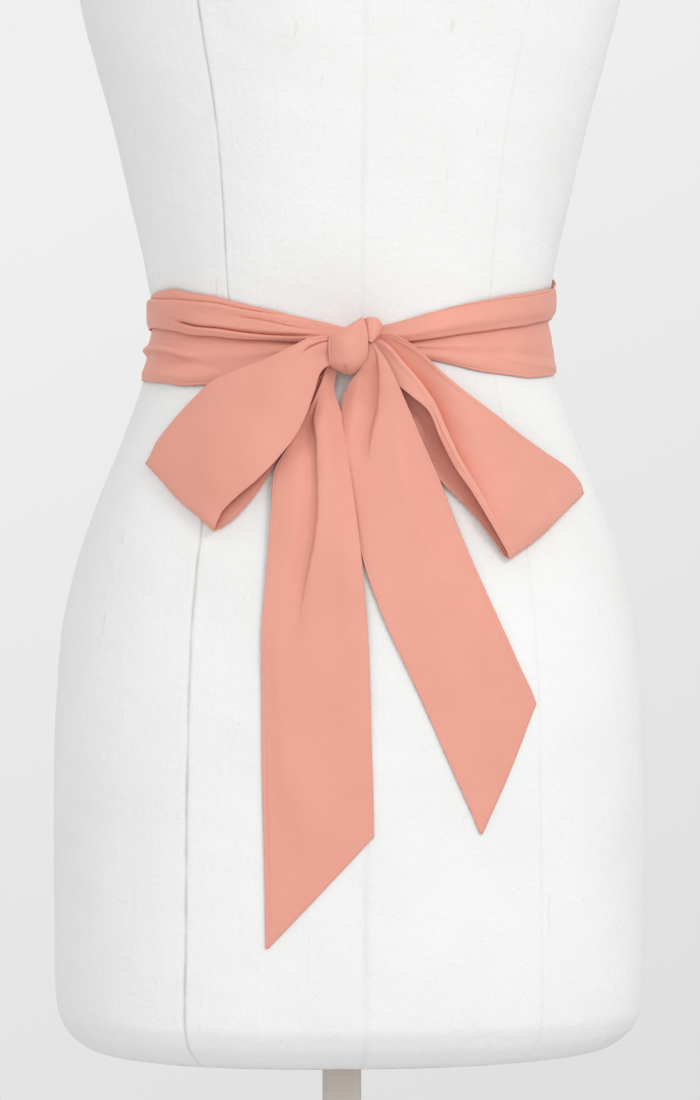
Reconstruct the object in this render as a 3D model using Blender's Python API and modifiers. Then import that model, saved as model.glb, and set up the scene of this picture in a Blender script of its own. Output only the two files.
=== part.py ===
"""Satin sash tied in a bow round the waist of a limbless dress form on a post stand.

Metres, +Z up. The origin is on the floor, under the centre of the round base.
The form faces -Y. Left and right are as seen from the front.
Every size and table below is in millimetres, and heights in the tables count from the waist.
"""
import math
from collections import namedtuple

import bmesh
import bpy
from mathutils import Matrix, Vector

MM = 0.001

# Driving sizes
WAIST_HEIGHT = 1040.0
HEM_BELOW_WAIST = 432.0
CLOTH_WALL = 1.2
CLEARANCE = 0.3
POST_WIDTH = 22.0
POST_OFFSET = -5.0
POST_EDGE = 2.0
FORM_SOCKET_DEPTH = 60.0
BASE_RADIUS = 190.0
BASE_RIM_HEIGHT = 9.0
BASE_CROWN_HEIGHT = 16.0
COLLAR_RADIUS = 28.0
COLLAR_HEIGHT = 46.0
BASE_SOCKET_FLOOR = 8.0
BUST_SPREAD = 74.0
BUST_HEIGHT = 212.0
BUST_FULLNESS = 9.0

# Steps of the curved shapes
FORM_SEGMENTS = 56
BASE_SEGMENTS = 48
BAND_STATIONS = 66
ROW_STEPS = 2

# Cross sections of the form, from the hem up to the top of the neck
FormSection = namedtuple("FormSection", "height half_width front back squareness")
FORM_SECTIONS = [
    FormSection(-432, 130, 74, 71, 2.3),
    FormSection(-430, 143, 87, 84, 2.3),
    FormSection(-427, 156, 99, 97, 2.3),
    FormSection(-421, 165, 107, 105, 2.3),
    FormSection(-414, 171, 113, 110, 2.3),
    FormSection(-403, 175, 118, 115, 2.3),
    FormSection(-376, 176.5, 119.5, 116, 2.3),
    FormSection(-282, 177, 120, 118, 2.3),
    FormSection(-234, 176, 119.5, 121, 2.3),
    FormSection(-186, 173, 118, 122, 2.3),
    FormSection(-150, 166, 115, 118, 2.25),
    FormSection(-102, 150.5, 108, 107, 2.2),
    FormSection(-66, 136, 100, 96, 2.2),
    FormSection(-33, 125, 92.5, 87, 2.2),
    FormSection(0, 118.5, 88, 82, 2.2),
    FormSection(36, 123, 91, 84, 2.2),
    FormSection(72, 130.5, 96, 87, 2.2),
    FormSection(126, 143, 105, 91, 2.25),
    FormSection(162, 153, 110, 93, 2.3),
    FormSection(198, 162, 113, 95, 2.3),
    FormSection(240, 166, 114, 98, 2.3),
    FormSection(285, 165, 109, 102, 2.3),
    FormSection(325, 169, 98, 103, 2.3),
    FormSection(352, 172, 84, 97, 2.25),
    FormSection(370, 162, 72, 88, 2.2),
    FormSection(386, 138, 63, 78, 2.15),
    FormSection(402, 106, 57, 70, 2.1),
    FormSection(418, 80, 54, 65, 2.05),
    FormSection(436, 63, 52, 61, 2.0),
    FormSection(456, 57, 50, 58, 2.0),
    FormSection(472, 56, 49.5, 57.5, 2.0),
    FormSection(474, 54, 47.5, 55.5, 2.0),
]

# The band, from its right end under the knot, round the back, to its left end under the knot.
# The lap is where the upper fold hangs over the lower one.
BandRow = namedtuple("BandRow", "angle top lap_edge bottom lap_depth ridge")
BAND_ROWS = [
    BandRow(2, -6, -11.5, -17, 2.5, 5.2),
    BandRow(9, -2.5, -13, -18.5, 3, 5.4),
    BandRow(17, 2.5, -10.5, -21.5, 4, 5.4),
    BandRow(33, 12, -5.5, -28, 6, 5.2),
    BandRow(50, 19, 0, -30, 7, 5),
    BandRow(68, 23.5, 5, -28.5, 7, 5),
    BandRow(92, 25, 7, -26, 6, 5),
    BandRow(130, 27, 4, -29, 6, 5.2),
    BandRow(180, 26, 1, -31, 7, 5.4),
    BandRow(230, 20, -1, -32, 6, 5.2),
    BandRow(268, 14, -1, -31, 5, 5),
    BandRow(283, 19, -1, -32.5, 5, 5.2),
    BandRow(296, 20, -2, -34, 6, 5.2),
    BandRow(308, 17, -1, -35.5, 6, 5.2),
    BandRow(326, 10, -6, -34.5, 5, 5.4),
    BandRow(342, 2, -8.5, -26, 4, 5.4),
    BandRow(353, -5, -11, -18.5, 2.5, 5.2),
]

# A strip of cloth in front of the form. Each row is one section across it, from edge to edge.
# Lift is the cloth's distance in front of the form, bulge its fullness in the middle,
# and gather the depth of its small pleats.
StripRow = namedtuple(
    "StripRow", "edge_x edge_z edge_lift far_x far_z far_lift bulge gather")

# Left loop: out from the knot behind, round the far fold, and back in front
LEFT_LOOP_ROWS = [
    StripRow(-10, -16.5, 9, -10, -22, 9, 0, 0.3),
    StripRow(-16, -17, 9, -15, -25, 8.5, 0, 0.6),
    StripRow(-23, -19, 8.7, -20, -33, 8, 0, 0.8),
    StripRow(-35, -24, 8, -30.5, -49, 6.5, 0.5, 0.8),
    StripRow(-51, -29, 7, -42, -68, 5, 0.5, 0.5),
    StripRow(-68, -34.5, 5.5, -50.5, -83, 3.2, 0, 0.3),
    StripRow(-82, -41, 3.6, -59, -97, 2.4, 0, 0.2),
    StripRow(-96, -52.5, 2.5, -67.5, -107.5, 2.2, 0, 0),
    StripRow(-110, -67, 2.3, -76, -115, 2.3, 0, 0),
    StripRow(-121.5, -79.5, 2.3, -84, -119.5, 2.3, 0, 0),
    StripRow(-124.5, -82, 4.6, -86.5, -122, 4.6, 0.2, 0),
    StripRow(-122.5, -78.5, 7.2, -85.5, -119.5, 7.2, 0.6, 0),
    StripRow(-118, -69.5, 9, -82, -111.5, 9.2, 1.5, 0),
    StripRow(-109, -57.5, 10.5, -73.5, -102.5, 11.5, 2.5, 0),
    StripRow(-97.5, -44, 12, -62, -92.5, 13.5, 3.5, 0.3),
    StripRow(-86, -34, 14, -49, -79, 15, 4, 0.5),
    StripRow(-71, -28.5, 16, -38, -64.5, 16, 4, 0.7),
    StripRow(-55.5, -23, 17.5, -32, -51.5, 16.5, 3, 0.9),
    StripRow(-42, -16.5, 18, -28.5, -41.5, 17, 1.5, 1),
    StripRow(-31, -11.5, 18, -25.5, -32, 17, 0.8, 0.9),
    StripRow(-21, -10, 18, -20.5, -27.5, 17, 0.4, 0.7),
    StripRow(-12, -12, 17.6, -12, -26.5, 17, 0.2, 0.5),
]

# Right loop: the same way round
RIGHT_LOOP_ROWS = [
    StripRow(-2, -14.5, 8, -2, -20, 8, 0, 0.3),
    StripRow(5, -14.5, 8, 3, -21.5, 8, 0, 0.5),
    StripRow(13, -16.5, 8, 7, -28, 8, 0, 0.7),
    StripRow(23, -22, 7.6, 13, -43.5, 6.8, 0, 0.7),
    StripRow(36.5, -31, 6.3, 22.5, -63.5, 4.4, 0, 0.5),
    StripRow(50.5, -41.5, 4.5, 34, -81, 2.8, 0, 0.3),
    StripRow(67, -52.5, 3, 45, -94, 2.3, 0, 0.2),
    StripRow(84, -65, 2.3, 55.5, -104, 2.2, 0, 0),
    StripRow(101, -77, 2.2, 66, -115, 2.2, 0, 0),
    StripRow(117, -89, 2.3, 74.5, -127, 2.3, 0, 0),
    StripRow(129.5, -98, 2.3, 80.5, -136, 2.3, 0, 0),
    StripRow(133, -98.5, 4.6, 83, -137, 4.6, 0.2, 0),
    StripRow(130.5, -94, 7, 81.5, -133.5, 7, 0.6, 0),
    StripRow(123, -84, 9, 77, -126, 9.2, 1.5, 0),
    StripRow(110.5, -76, 11.3, 70, -114.5, 12, 2.5, 0.2),
    StripRow(94, -65, 14, 60.5, -99, 14, 3, 0.4),
    StripRow(77, -53.5, 16, 51, -85.5, 16, 3, 0.6),
    StripRow(60, -42.5, 17, 42.5, -68.5, 17, 2.5, 0.8),
    StripRow(45, -30.5, 17, 36, -53, 16, 1.5, 0.9),
    StripRow(31, -18.5, 16, 26.5, -44.5, 15, 1, 1),
    StripRow(22, -11.5, 15, 18, -37, 14, 0.6, 0.9),
    StripRow(15, -8.5, 14, 13, -27, 13.4, 0.3, 0.7),
    StripRow(9, -8.5, 12.8, 8, -18, 12.8, 0.1, 0.5),
    StripRow(3.5, -10.5, 12.6, 3.5, -17.5, 12.6, 0, 0.3),
    StripRow(-3, -11.5, 12.6, -3, -17, 12.6, 0, 0.2),
]

# Tails, from the knot down to the slanted end
LEFT_TAIL_ROWS = [
    StripRow(-20, -23, 13, -13.5, -24, 13, 0, 0.3),
    StripRow(-25, -37.5, 13, -17.5, -40, 13.2, 0.3, 0.5),
    StripRow(-33, -54.5, 11, -14, -52.5, 12.6, 1, 0.8),
    StripRow(-42, -70.5, 9, -11.5, -69.5, 11.4, 1.5, 0.8),
    StripRow(-51.5, -90, 5.2, -8.5, -90, 9, 2, 0.6),
    StripRow(-54.5, -115, 3.4, -6, -115, 6.4, 2, 0.4),
    StripRow(-58, -149, 2.4, -3, -149, 4, 1.4, 0.2),
    StripRow(-61, -186, 1.6, -1, -182, 2.4, 0.8, 0),
    StripRow(-60.5, -230, 1.2, 0, -212, 1.6, 0.5, 0),
    StripRow(-60, -276, 1, 1, -243, 1.2, 0.3, 0),
    StripRow(-59.5, -318, 1, 2, -270, 1, 0.1, 0),
    StripRow(-59, -355, 1, 2.5, -293, 1, 0, 0),
]
RIGHT_TAIL_ROWS = [
    StripRow(-3, -12.5, 14.8, 3, -11, 14.8, 0, 0.2),
    StripRow(-2, -17.5, 16.2, 5, -15, 15.6, 0, 0.3),
    StripRow(-2, -26.5, 17, 9, -24.5, 17.6, 0, 0.5),
    StripRow(-8, -36.5, 14, 15, -35.5, 16.6, 0.4, 0.7),
    StripRow(-13, -51, 7, 24, -51, 12.5, 1, 0.7),
    StripRow(-12.5, -69.5, 5, 33, -70.5, 9, 1.2, 0.5),
    StripRow(-9.5, -93, 3, 41.5, -89, 6.2, 1.2, 0.3),
    StripRow(-3.5, -132, 2, 52.5, -120, 3.6, 1, 0.2),
    StripRow(8.5, -169, 1.5, 61, -142, 2.4, 0.6, 0),
    StripRow(23, -200, 1.2, 72, -167, 1.6, 0.4, 0),
    StripRow(37, -230, 1, 80.5, -185.5, 1.2, 0.3, 0),
    StripRow(47.5, -253.5, 1, 88, -200.5, 1.1, 0.2, 0),
    StripRow(57.5, -275, 1, 93.5, -211, 1.1, 0.1, 0),
    StripRow(64, -292, 1, 97, -219, 1.1, 0, 0),
]

# The sash's own end, rolled up beside the knot
TUCK_ROWS = [
    StripRow(-1, -3.5, 15.4, -0.5, -9.5, 17.3, 0.2, 0.2),
    StripRow(2.5, -1, 15.6, 1.8, -12.5, 17.7, 0.6, 0.5),
    StripRow(6, -0.8, 15, 4.2, -13.6, 17.2, 0.8, 0.6),
    StripRow(8.6, -2.2, 14.4, 6, -12.6, 16.4, 0.5, 0.5),
    StripRow(10, -4, 13.6, 7.4, -10.4, 15.4, 0.2, 0.3),
]

# Large folds: a trough where the depth is below zero, a ridge where it is above.
# A place is measured across the strip, 0 at the edge and 1 at the far edge.
Fold = namedtuple("Fold", "first_row last_row first_place last_place half_width depth")
LEFT_LOOP_FOLDS = [
    Fold(12.5, 19.5, 0.32, 0.35, 0.1, -1.6),
    Fold(13.5, 20, 0.62, 0.6, 0.12, -1.2),
    Fold(14, 20, 0.85, 0.8, 0.1, 0.9),
]
RIGHT_LOOP_FOLDS = [
    Fold(14.5, 23, 0.74, 0.62, 0.07, -1.8),
    Fold(14.5, 23, 0.88, 0.82, 0.1, 0.8),
    Fold(14, 22, 0.38, 0.34, 0.12, -1.4),
]
LEFT_TAIL_FOLDS = [
    Fold(1.5, 7.5, 0.35, 0.44, 0.12, -1.5),
    Fold(2, 8, 0.72, 0.8, 0.14, 0.9),
]
RIGHT_TAIL_FOLDS = [
    Fold(1.6, 6.4, 0.6, 0.22, 0.12, -1.6),
    Fold(2, 7, 0.8, 0.6, 0.14, 1.0),
]

# The knot's wrap: rows run from its top at the back, over its front, to its underside.
# Each has a left edge, a middle and a right edge.
WrapRow = namedtuple(
    "WrapRow", "left_x left_z left_lift mid_x mid_z mid_lift right_x right_z right_lift")
WRAP_ROWS = [
    WrapRow(-16, -9, 6.4, -9, -5.5, 6, -2.5, -4, 6.4),
    WrapRow(-17.5, -7, 12, -10, -2.7, 11.5, -2, -0.5, 11),
    WrapRow(-19, -7.5, 17.4, -10, -2.7, 19.5, -0.8, 0, 16.5),
    WrapRow(-20.3, -10.5, 20, -10, -6, 24, 0.9, -3.5, 19.3),
    WrapRow(-21, -16, 20.4, -9.5, -15, 26.8, 1.6, -12, 20.4),
    WrapRow(-21, -22, 20.4, -9.5, -22.5, 26.4, 1.3, -18, 20.4),
    WrapRow(-20.5, -26.5, 20, -9.5, -28.5, 24, -0.5, -24, 20.2),
    WrapRow(-19, -29, 19.4, -9.3, -31.8, 20.4, -3, -28, 20),
    WrapRow(-17.6, -30, 17.6, -9.2, -32.4, 17, -4.5, -30, 18.8),
]


def clear_scene():
    """Start from an empty scene."""
    for thing in list(bpy.data.objects):
        bpy.data.objects.remove(thing, do_unlink=True)


def make_collection(name):
    """Return a new collection in the scene."""
    collection = bpy.data.collections.new(name)
    bpy.context.scene.collection.children.link(collection)
    return collection


def make_material(name, colour, roughness, metallic=0.0):
    """Return a plain material of that colour."""
    material = bpy.data.materials.new(name)
    material.use_nodes = True
    shader = material.node_tree.nodes["Principled BSDF"]
    shader.inputs["Base Color"].default_value = (*colour, 1.0)
    shader.inputs["Roughness"].default_value = roughness
    shader.inputs["Metallic"].default_value = metallic
    return material


def steady_slopes(places, values):
    """Slopes at the given places that never carry a curve past its own points."""
    slopes = [0.0] * len(places)
    steps = [places[i + 1] - places[i] for i in range(len(places) - 1)]
    rates = [(values[i + 1] - values[i]) / steps[i] for i in range(len(steps))]
    slopes[0] = rates[0]
    slopes[-1] = rates[-1]
    for i in range(1, len(places) - 1):
        if rates[i - 1] * rates[i] > 0.0:
            before = steps[i] * 2.0 + steps[i - 1]
            after = steps[i] + steps[i - 1] * 2.0
            slopes[i] = (before + after) / (before / rates[i - 1] + after / rates[i])
    return slopes


class SmoothTable:
    """A table of rows, read at any place along it as a smooth curve through its rows."""

    def __init__(self, rows, places):
        self.rows = rows
        self.places = places
        self.columns = list(zip(*rows))
        self.slopes = [steady_slopes(places, column) for column in self.columns]

    def read(self, place):
        """Return the row at that place."""
        place = min(max(place, self.places[0]), self.places[-1])
        i = 0
        while i < len(self.places) - 2 and place > self.places[i + 1]:
            i += 1
        step = self.places[i + 1] - self.places[i]
        t = (place - self.places[i]) / step
        rise = t * t * (3.0 - 2.0 * t)
        lead = t * (1.0 - t) * (1.0 - t) * step
        trail = t * t * (t - 1.0) * step
        values = []
        for column, slope in zip(self.columns, self.slopes):
            value = column[i] + (column[i + 1] - column[i]) * rise
            values.append(value + slope[i] * lead + slope[i + 1] * trail)
        return type(self.rows[0])(*values)


FORM_TABLE = SmoothTable(FORM_SECTIONS, [row.height for row in FORM_SECTIONS])


def bust_fullness(x, height):
    """How far the bust stands forward of the plain section."""
    across = (abs(x) - BUST_SPREAD) / 44.0
    upward = (height - BUST_HEIGHT) / 52.0
    return BUST_FULLNESS * math.exp(-across * across - upward * upward)


def front_depth(x, height):
    """Depth of the form's front at that width and height."""
    section = FORM_TABLE.read(height)
    share = min(abs(x) / section.half_width, 0.999)
    power = section.squareness
    depth = section.front * (1.0 - share ** power) ** (1.0 / power)
    return depth + bust_fullness(x, height)


def outline_point(angle, height, offset):
    """Point beside the form, at an angle from its front that grows to the right."""
    section = FORM_TABLE.read(height)
    power = section.squareness
    side = math.sin(angle)
    ahead = math.cos(angle)
    x = math.copysign(abs(side) ** (2.0 / power), side) * section.half_width
    depth = section.front if ahead > 0.0 else section.back
    y = -math.copysign(abs(ahead) ** (2.0 / power), ahead) * depth
    out_x = math.copysign(abs(x / section.half_width) ** (power - 1.0), x) / section.half_width
    out_y = math.copysign(abs(y / depth) ** (power - 1.0), y) / depth
    length = math.hypot(out_x, out_y)
    if ahead > 0.0:
        y -= bust_fullness(x, height) * ahead
    return Vector((x + out_x / length * offset, y + out_y / length * offset, height))


def lifted_point(x, height, lift):
    """Point in front of the form, lifted off it."""
    return Vector((x, -front_depth(x, height) - lift, height))


def world(point):
    """A table point, which counts from the waist in millimetres, in the part's metres."""
    return Vector((point.x, point.y, point.z + WAIST_HEIGHT)) * MM


def link_object(name, mesh, material, collection):
    """Make the object of a mesh."""
    thing = bpy.data.objects.new(name, mesh)
    collection.objects.link(thing)
    thing.data.materials.append(material)
    return thing


def shade(thing, angle=40.0):
    """Shade smooth, with sharp edges where faces meet steeply."""
    thing.data.shade_smooth()
    thing.data.set_sharp_from_angle(angle=math.radians(angle))


def grid_mesh(name, grid, closed=False):
    """Mesh of a grid of points, joined round on itself where closed."""
    builder = bmesh.new()
    rows = [[builder.verts.new(point) for point in row] for row in grid]
    count = len(rows[0])
    for i in range(len(rows) - 1):
        for j in range(count if closed else count - 1):
            k = (j + 1) % count
            builder.faces.new((rows[i][j], rows[i][k], rows[i + 1][k], rows[i + 1][j]))
    if closed:
        builder.faces.new(list(reversed(rows[0])))
        builder.faces.new(rows[-1])
    bmesh.ops.recalc_face_normals(builder, faces=builder.faces)
    mesh = bpy.data.meshes.new(name)
    builder.to_mesh(mesh)
    builder.free()
    return mesh


def cloth_object(name, grid, material, collection):
    """Cloth wall on an open grid of points."""
    thing = link_object(name, grid_mesh(name, grid), material, collection)
    wall = thing.modifiers.new("wall", "SOLIDIFY")
    wall.thickness = CLOTH_WALL * MM
    wall.offset = 0.0
    shade(thing, 60.0)
    return thing


def form_heights():
    """Heights of the form's rings: its sections, with more where it curves in at the waist."""
    heights = []
    for lower, upper in zip(FORM_SECTIONS, FORM_SECTIONS[1:]):
        heights.append(lower.height)
        gap = upper.height - lower.height
        curved = gap > 28.0 and abs(lower.height + upper.height) < 220.0
        extra = 2 if gap > 60.0 else 1 if curved else 0
        for i in range(extra):
            heights.append(lower.height + gap * (i + 1) / (extra + 1))
    heights.append(FORM_SECTIONS[-1].height)
    return heights


def make_form(material, collection, cutters):
    """The limbless body, with a blind square socket for the post in its underside."""
    grid = []
    for height in form_heights():
        turns = [math.tau * i / FORM_SEGMENTS for i in range(FORM_SEGMENTS)]
        grid.append([world(outline_point(turn, height, 0.0)) for turn in turns])
    form = link_object("dress_form", grid_mesh("dress_form", grid, True), material, collection)
    shade(form, 50.0)
    hem = WAIST_HEIGHT - HEM_BELOW_WAIST
    width = POST_WIDTH + 2.0 * CLEARANCE
    cut_box(form, "form_socket", width, hem - 10.0, hem + FORM_SOCKET_DEPTH, cutters)
    return form


def cut_box(thing, name, width, bottom, top, cutters):
    """Cut a square hole on the post's line."""
    bpy.ops.mesh.primitive_cube_add(size=1.0)
    cutter = bpy.context.active_object
    cutter.name = name
    cutter.data.transform(Matrix.Diagonal((width * MM, width * MM, (top - bottom) * MM, 1.0)))
    cutter.location = (POST_OFFSET * MM, 0.0, (top + bottom) / 2.0 * MM)
    move_to(cutter, cutters)
    cutter.hide_render = True
    cutter.display_type = "WIRE"
    cut = thing.modifiers.new(name, "BOOLEAN")
    cut.operation = "DIFFERENCE"
    cut.solver = "EXACT"
    cut.object = cutter


def move_to(thing, collection):
    """Move an object to one collection."""
    for owner in list(thing.users_collection):
        owner.objects.unlink(thing)
    collection.objects.link(thing)


def make_post(material, collection):
    """Square post from the base's socket up into the form's."""
    bottom = BASE_SOCKET_FLOOR + CLEARANCE
    top = WAIST_HEIGHT - HEM_BELOW_WAIST + FORM_SOCKET_DEPTH - CLEARANCE
    bpy.ops.mesh.primitive_cube_add(size=1.0)
    post = bpy.context.active_object
    post.name = "stand_post"
    height = top - bottom
    post.data.transform(Matrix.Diagonal((POST_WIDTH * MM, POST_WIDTH * MM, height * MM, 1.0)))
    post.location = (POST_OFFSET * MM, 0.0, (top + bottom) / 2.0 * MM)
    move_to(post, collection)
    post.data.materials.append(material)
    edge = post.modifiers.new("edge", "BEVEL")
    edge.width = POST_EDGE * MM
    edge.segments = 3
    shade(post)
    return post


def make_base(material, collection, cutters):
    """Round weighted base with a collar, turned from one profile."""
    profile = [
        (0.0, COLLAR_HEIGHT),
        (COLLAR_RADIUS - 3.0, COLLAR_HEIGHT),
        (COLLAR_RADIUS - 0.9, COLLAR_HEIGHT - 0.9),
        (COLLAR_RADIUS, COLLAR_HEIGHT - 3.0),
        (COLLAR_RADIUS, BASE_CROWN_HEIGHT + 6.0),
        (COLLAR_RADIUS + 1.8, BASE_CROWN_HEIGHT + 1.8),
        (COLLAR_RADIUS + 6.0, BASE_CROWN_HEIGHT),
        (BASE_RADIUS * 0.6, BASE_CROWN_HEIGHT - 1.5),
        (BASE_RADIUS - 14.0, BASE_RIM_HEIGHT + 1.5),
        (BASE_RADIUS - 4.0, BASE_RIM_HEIGHT),
        (BASE_RADIUS - 1.2, BASE_RIM_HEIGHT - 1.2),
        (BASE_RADIUS, BASE_RIM_HEIGHT - 4.0),
        (BASE_RADIUS, 1.5),
        (BASE_RADIUS - 1.5, 0.0),
        (0.0, 0.0),
    ]
    mesh = bpy.data.meshes.new("stand_base")
    points = [(radius * MM, 0.0, height * MM) for radius, height in profile]
    edges = [(i, i + 1) for i in range(len(points) - 1)]
    mesh.from_pydata(points, edges, [])
    base = link_object("stand_base", mesh, material, collection)
    turn = base.modifiers.new("turn", "SCREW")
    turn.steps = BASE_SEGMENTS
    turn.render_steps = BASE_SEGMENTS
    turn.use_merge_vertices = True
    turn.merge_threshold = 0.00005
    turn.use_smooth_shade = True
    width = POST_WIDTH + 2.0 * CLEARANCE
    cut_box(base, "base_socket", width, BASE_SOCKET_FLOOR, COLLAR_HEIGHT + 10.0, cutters)
    return base


def band_profile(row):
    """Height and lift of the band's points from top to bottom, through its lapped fold."""
    upper = row.top - row.lap_edge
    lower = row.lap_edge - row.bottom
    inner = 1.3
    middle = inner + (row.ridge - inner) / 2.0
    return [
        (row.top, inner + 0.2),
        (row.top - 0.14 * upper, inner + 1.6),
        (row.top - 0.4 * upper, inner + 2.4),
        (row.lap_edge + 0.32 * upper, row.ridge + 0.4),
        (row.lap_edge + 0.14 * upper, row.ridge),
        (row.lap_edge - 0.2, (row.ridge + middle) / 2.0),
        (row.lap_edge + 0.8, middle),
        (row.lap_edge + 0.55 * row.lap_depth, middle),
        (row.lap_edge + row.lap_depth, (middle + inner) / 2.0),
        (row.lap_edge + 0.45 * row.lap_depth, inner),
        (row.lap_edge - 0.1 * lower, inner + 0.1),
        (row.lap_edge - 0.35 * lower, inner + 1.5),
        (row.lap_edge - 0.55 * lower, inner + 0.9),
        (row.lap_edge - 0.8 * lower, inner + 1.1),
        (row.bottom, inner),
    ]


def make_band(material, collection):
    """The stretch round the waist, one strip from one side of the knot to the other."""
    table = SmoothTable(BAND_ROWS, [row.angle for row in BAND_ROWS])
    first = BAND_ROWS[0].angle
    last = BAND_ROWS[-1].angle
    grid = []
    for i in range(BAND_STATIONS):
        row = table.read(first + (last - first) * i / (BAND_STATIONS - 1))
        angle = math.radians(row.angle)
        grid.append([world(outline_point(angle, z, lift)) for z, lift in band_profile(row)])
    return cloth_object("waist_band", grid, material, collection)


def fold_lift(folds, place_along, place_across):
    """Sum of the large folds at one point of a strip."""
    total = 0.0
    for fold in folds:
        share = (place_along - fold.first_row) / (fold.last_row - fold.first_row)
        if not 0.0 < share < 1.0:
            continue
        ramp = min(1.0, share * 4.0, (1.0 - share) * 4.0)
        centre = fold.first_place + (fold.last_place - fold.first_place) * share
        away = (place_across - centre) / fold.half_width
        total += fold.depth * ramp * ramp * (3.0 - 2.0 * ramp) * math.exp(-away * away)
    return total


def strip_grid(rows, folds, across, gathers, steps=ROW_STEPS, tip=None):
    """Grid of points of a strip of cloth that lies in front of the form."""
    table = SmoothTable(rows, list(range(len(rows))))
    grid = []
    for i in range((len(rows) - 1) * steps + 1):
        place = i / steps
        row = table.read(place)
        line = []
        for j in range(across):
            t = j / (across - 1)
            x = row.edge_x + (row.far_x - row.edge_x) * t
            z = row.edge_z + (row.far_z - row.edge_z) * t
            if tip is not None:
                z = max(z, tip)
            lift = row.edge_lift + (row.far_lift - row.edge_lift) * t
            lift += row.bulge * math.sin(math.pi * t)
            lift += row.gather * math.sin(math.pi * t) * math.sin(math.tau * gathers * t)
            lift += fold_lift(folds, place, t)
            line.append(world(lifted_point(x, z, lift)))
        grid.append(line)
    return grid


def make_wrap(material, collection):
    """The cloth that goes round the knot, open behind it."""
    table = SmoothTable(WRAP_ROWS, list(range(len(WRAP_ROWS))))
    across = 9
    grid = []
    for i in range((len(WRAP_ROWS) - 1) * ROW_STEPS + 1):
        row = table.read(i / ROW_STEPS)
        line = []
        for j in range(across):
            t = j / (across - 1)
            left = (1.0 - t) * (1.0 - 2.0 * t)
            middle = 4.0 * t * (1.0 - t)
            right = t * (2.0 * t - 1.0)
            x = left * row.left_x + middle * row.mid_x + right * row.right_x
            z = left * row.left_z + middle * row.mid_z + right * row.right_z
            lift = left * row.left_lift + middle * row.mid_lift + right * row.right_lift
            line.append(world(lifted_point(x, z, lift)))
        grid.append(line)
    return cloth_object("knot_wrap", grid, material, collection)


def main():
    """Build every piece."""
    clear_scene()
    parts = make_collection("satin_sash_on_dress_form")
    cutters = make_collection("cutters")
    satin = make_material("satin", (0.81, 0.39, 0.31), 0.45)
    linen = make_material("linen", (0.80, 0.78, 0.75), 0.9)
    paint = make_material("stand_paint", (0.62, 0.57, 0.53), 0.5)
    make_form(linen, parts, cutters)
    make_post(paint, parts)
    make_base(paint, parts, cutters)
    make_band(satin, parts)
    make_wrap(satin, parts)
    tip_left = LEFT_TAIL_ROWS[-1].edge_z + 1.5
    tip_right = RIGHT_TAIL_ROWS[-1].edge_z + 1.5
    strips = [
        ("knot_tuck", strip_grid(TUCK_ROWS, [], 7, 2)),
        ("left_loop", strip_grid(LEFT_LOOP_ROWS, LEFT_LOOP_FOLDS, 13, 3)),
        ("right_loop", strip_grid(RIGHT_LOOP_ROWS, RIGHT_LOOP_FOLDS, 13, 3)),
        ("left_tail", strip_grid(LEFT_TAIL_ROWS, LEFT_TAIL_FOLDS, 9, 2, tip=tip_left)),
        ("right_tail", strip_grid(RIGHT_TAIL_ROWS, RIGHT_TAIL_FOLDS, 9, 2, tip=tip_right)),
    ]
    for name, grid in strips:
        cloth_object(name, grid, satin, parts)


main()
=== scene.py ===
"""Satin sash tied in a bow round a limbless dress form: the dressed model and its studio.

The frame gives the solids in metres. The tables here are in millimetres, as the solids' own
are: heights count from the waist, and left and right are as seen from the front.
"""
import math
from collections import namedtuple

import bpy
import numpy as np
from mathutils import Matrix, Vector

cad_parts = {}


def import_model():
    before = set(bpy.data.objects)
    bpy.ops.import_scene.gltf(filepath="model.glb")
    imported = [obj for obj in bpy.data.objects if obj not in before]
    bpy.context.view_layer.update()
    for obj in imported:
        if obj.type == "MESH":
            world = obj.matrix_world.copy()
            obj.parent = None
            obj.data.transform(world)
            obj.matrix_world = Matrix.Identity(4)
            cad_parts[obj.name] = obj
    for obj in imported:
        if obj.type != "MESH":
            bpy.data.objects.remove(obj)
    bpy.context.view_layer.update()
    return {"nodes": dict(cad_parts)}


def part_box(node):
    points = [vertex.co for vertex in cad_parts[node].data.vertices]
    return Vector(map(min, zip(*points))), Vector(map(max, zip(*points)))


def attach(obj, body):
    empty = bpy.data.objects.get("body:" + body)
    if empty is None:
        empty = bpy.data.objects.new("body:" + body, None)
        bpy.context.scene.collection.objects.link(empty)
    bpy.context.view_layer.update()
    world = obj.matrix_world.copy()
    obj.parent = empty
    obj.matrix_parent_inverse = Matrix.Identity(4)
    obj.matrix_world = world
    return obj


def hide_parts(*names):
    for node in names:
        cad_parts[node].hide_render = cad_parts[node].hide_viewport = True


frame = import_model()

MM = 0.001

# Places that the solids settle
HEM_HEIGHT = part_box("dress_form")[0][2]
HEM_BELOW_WAIST = 432.0
WAIST = HEM_HEIGHT / MM + HEM_BELOW_WAIST

# The sash, pressed flat, and the widths stated for its gathered stretches
SASH_WIDTH = 63.0
CLOTH_PLY = 0.85
PRESSED_EDGE = 1.3
CLOTH_STEP = 1.25
SHOWN_WIDTHS = {"knot_wrap": 24.0, "knot_tuck": 11.0, "left_loop": 60.0, "right_loop": 58.0}

# The widths of the knot's two pieces, and how finely they and the band are divided
WRAP_WIDTH = 30.0
WRAP_STEP = 0.5
TUCK_WIDTH = 15.0
TUCK_STATIONS = 97
TUCK_PLEATS = 5
TUCK_PLEAT_DEPTH = 0.36
BAND_STATIONS = 400

# The cloth's uneven waves and gathers, how fast a crease fades in, how many half widths its
# step reaches, and how blunt the tails' tips are
WAVE_LENGTH = 34.0
GATHER_WAVES = 3.0
CREASE_FADE = 3.5
STEP_REACH = 9.0
TIP_CUT = 1.6

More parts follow.
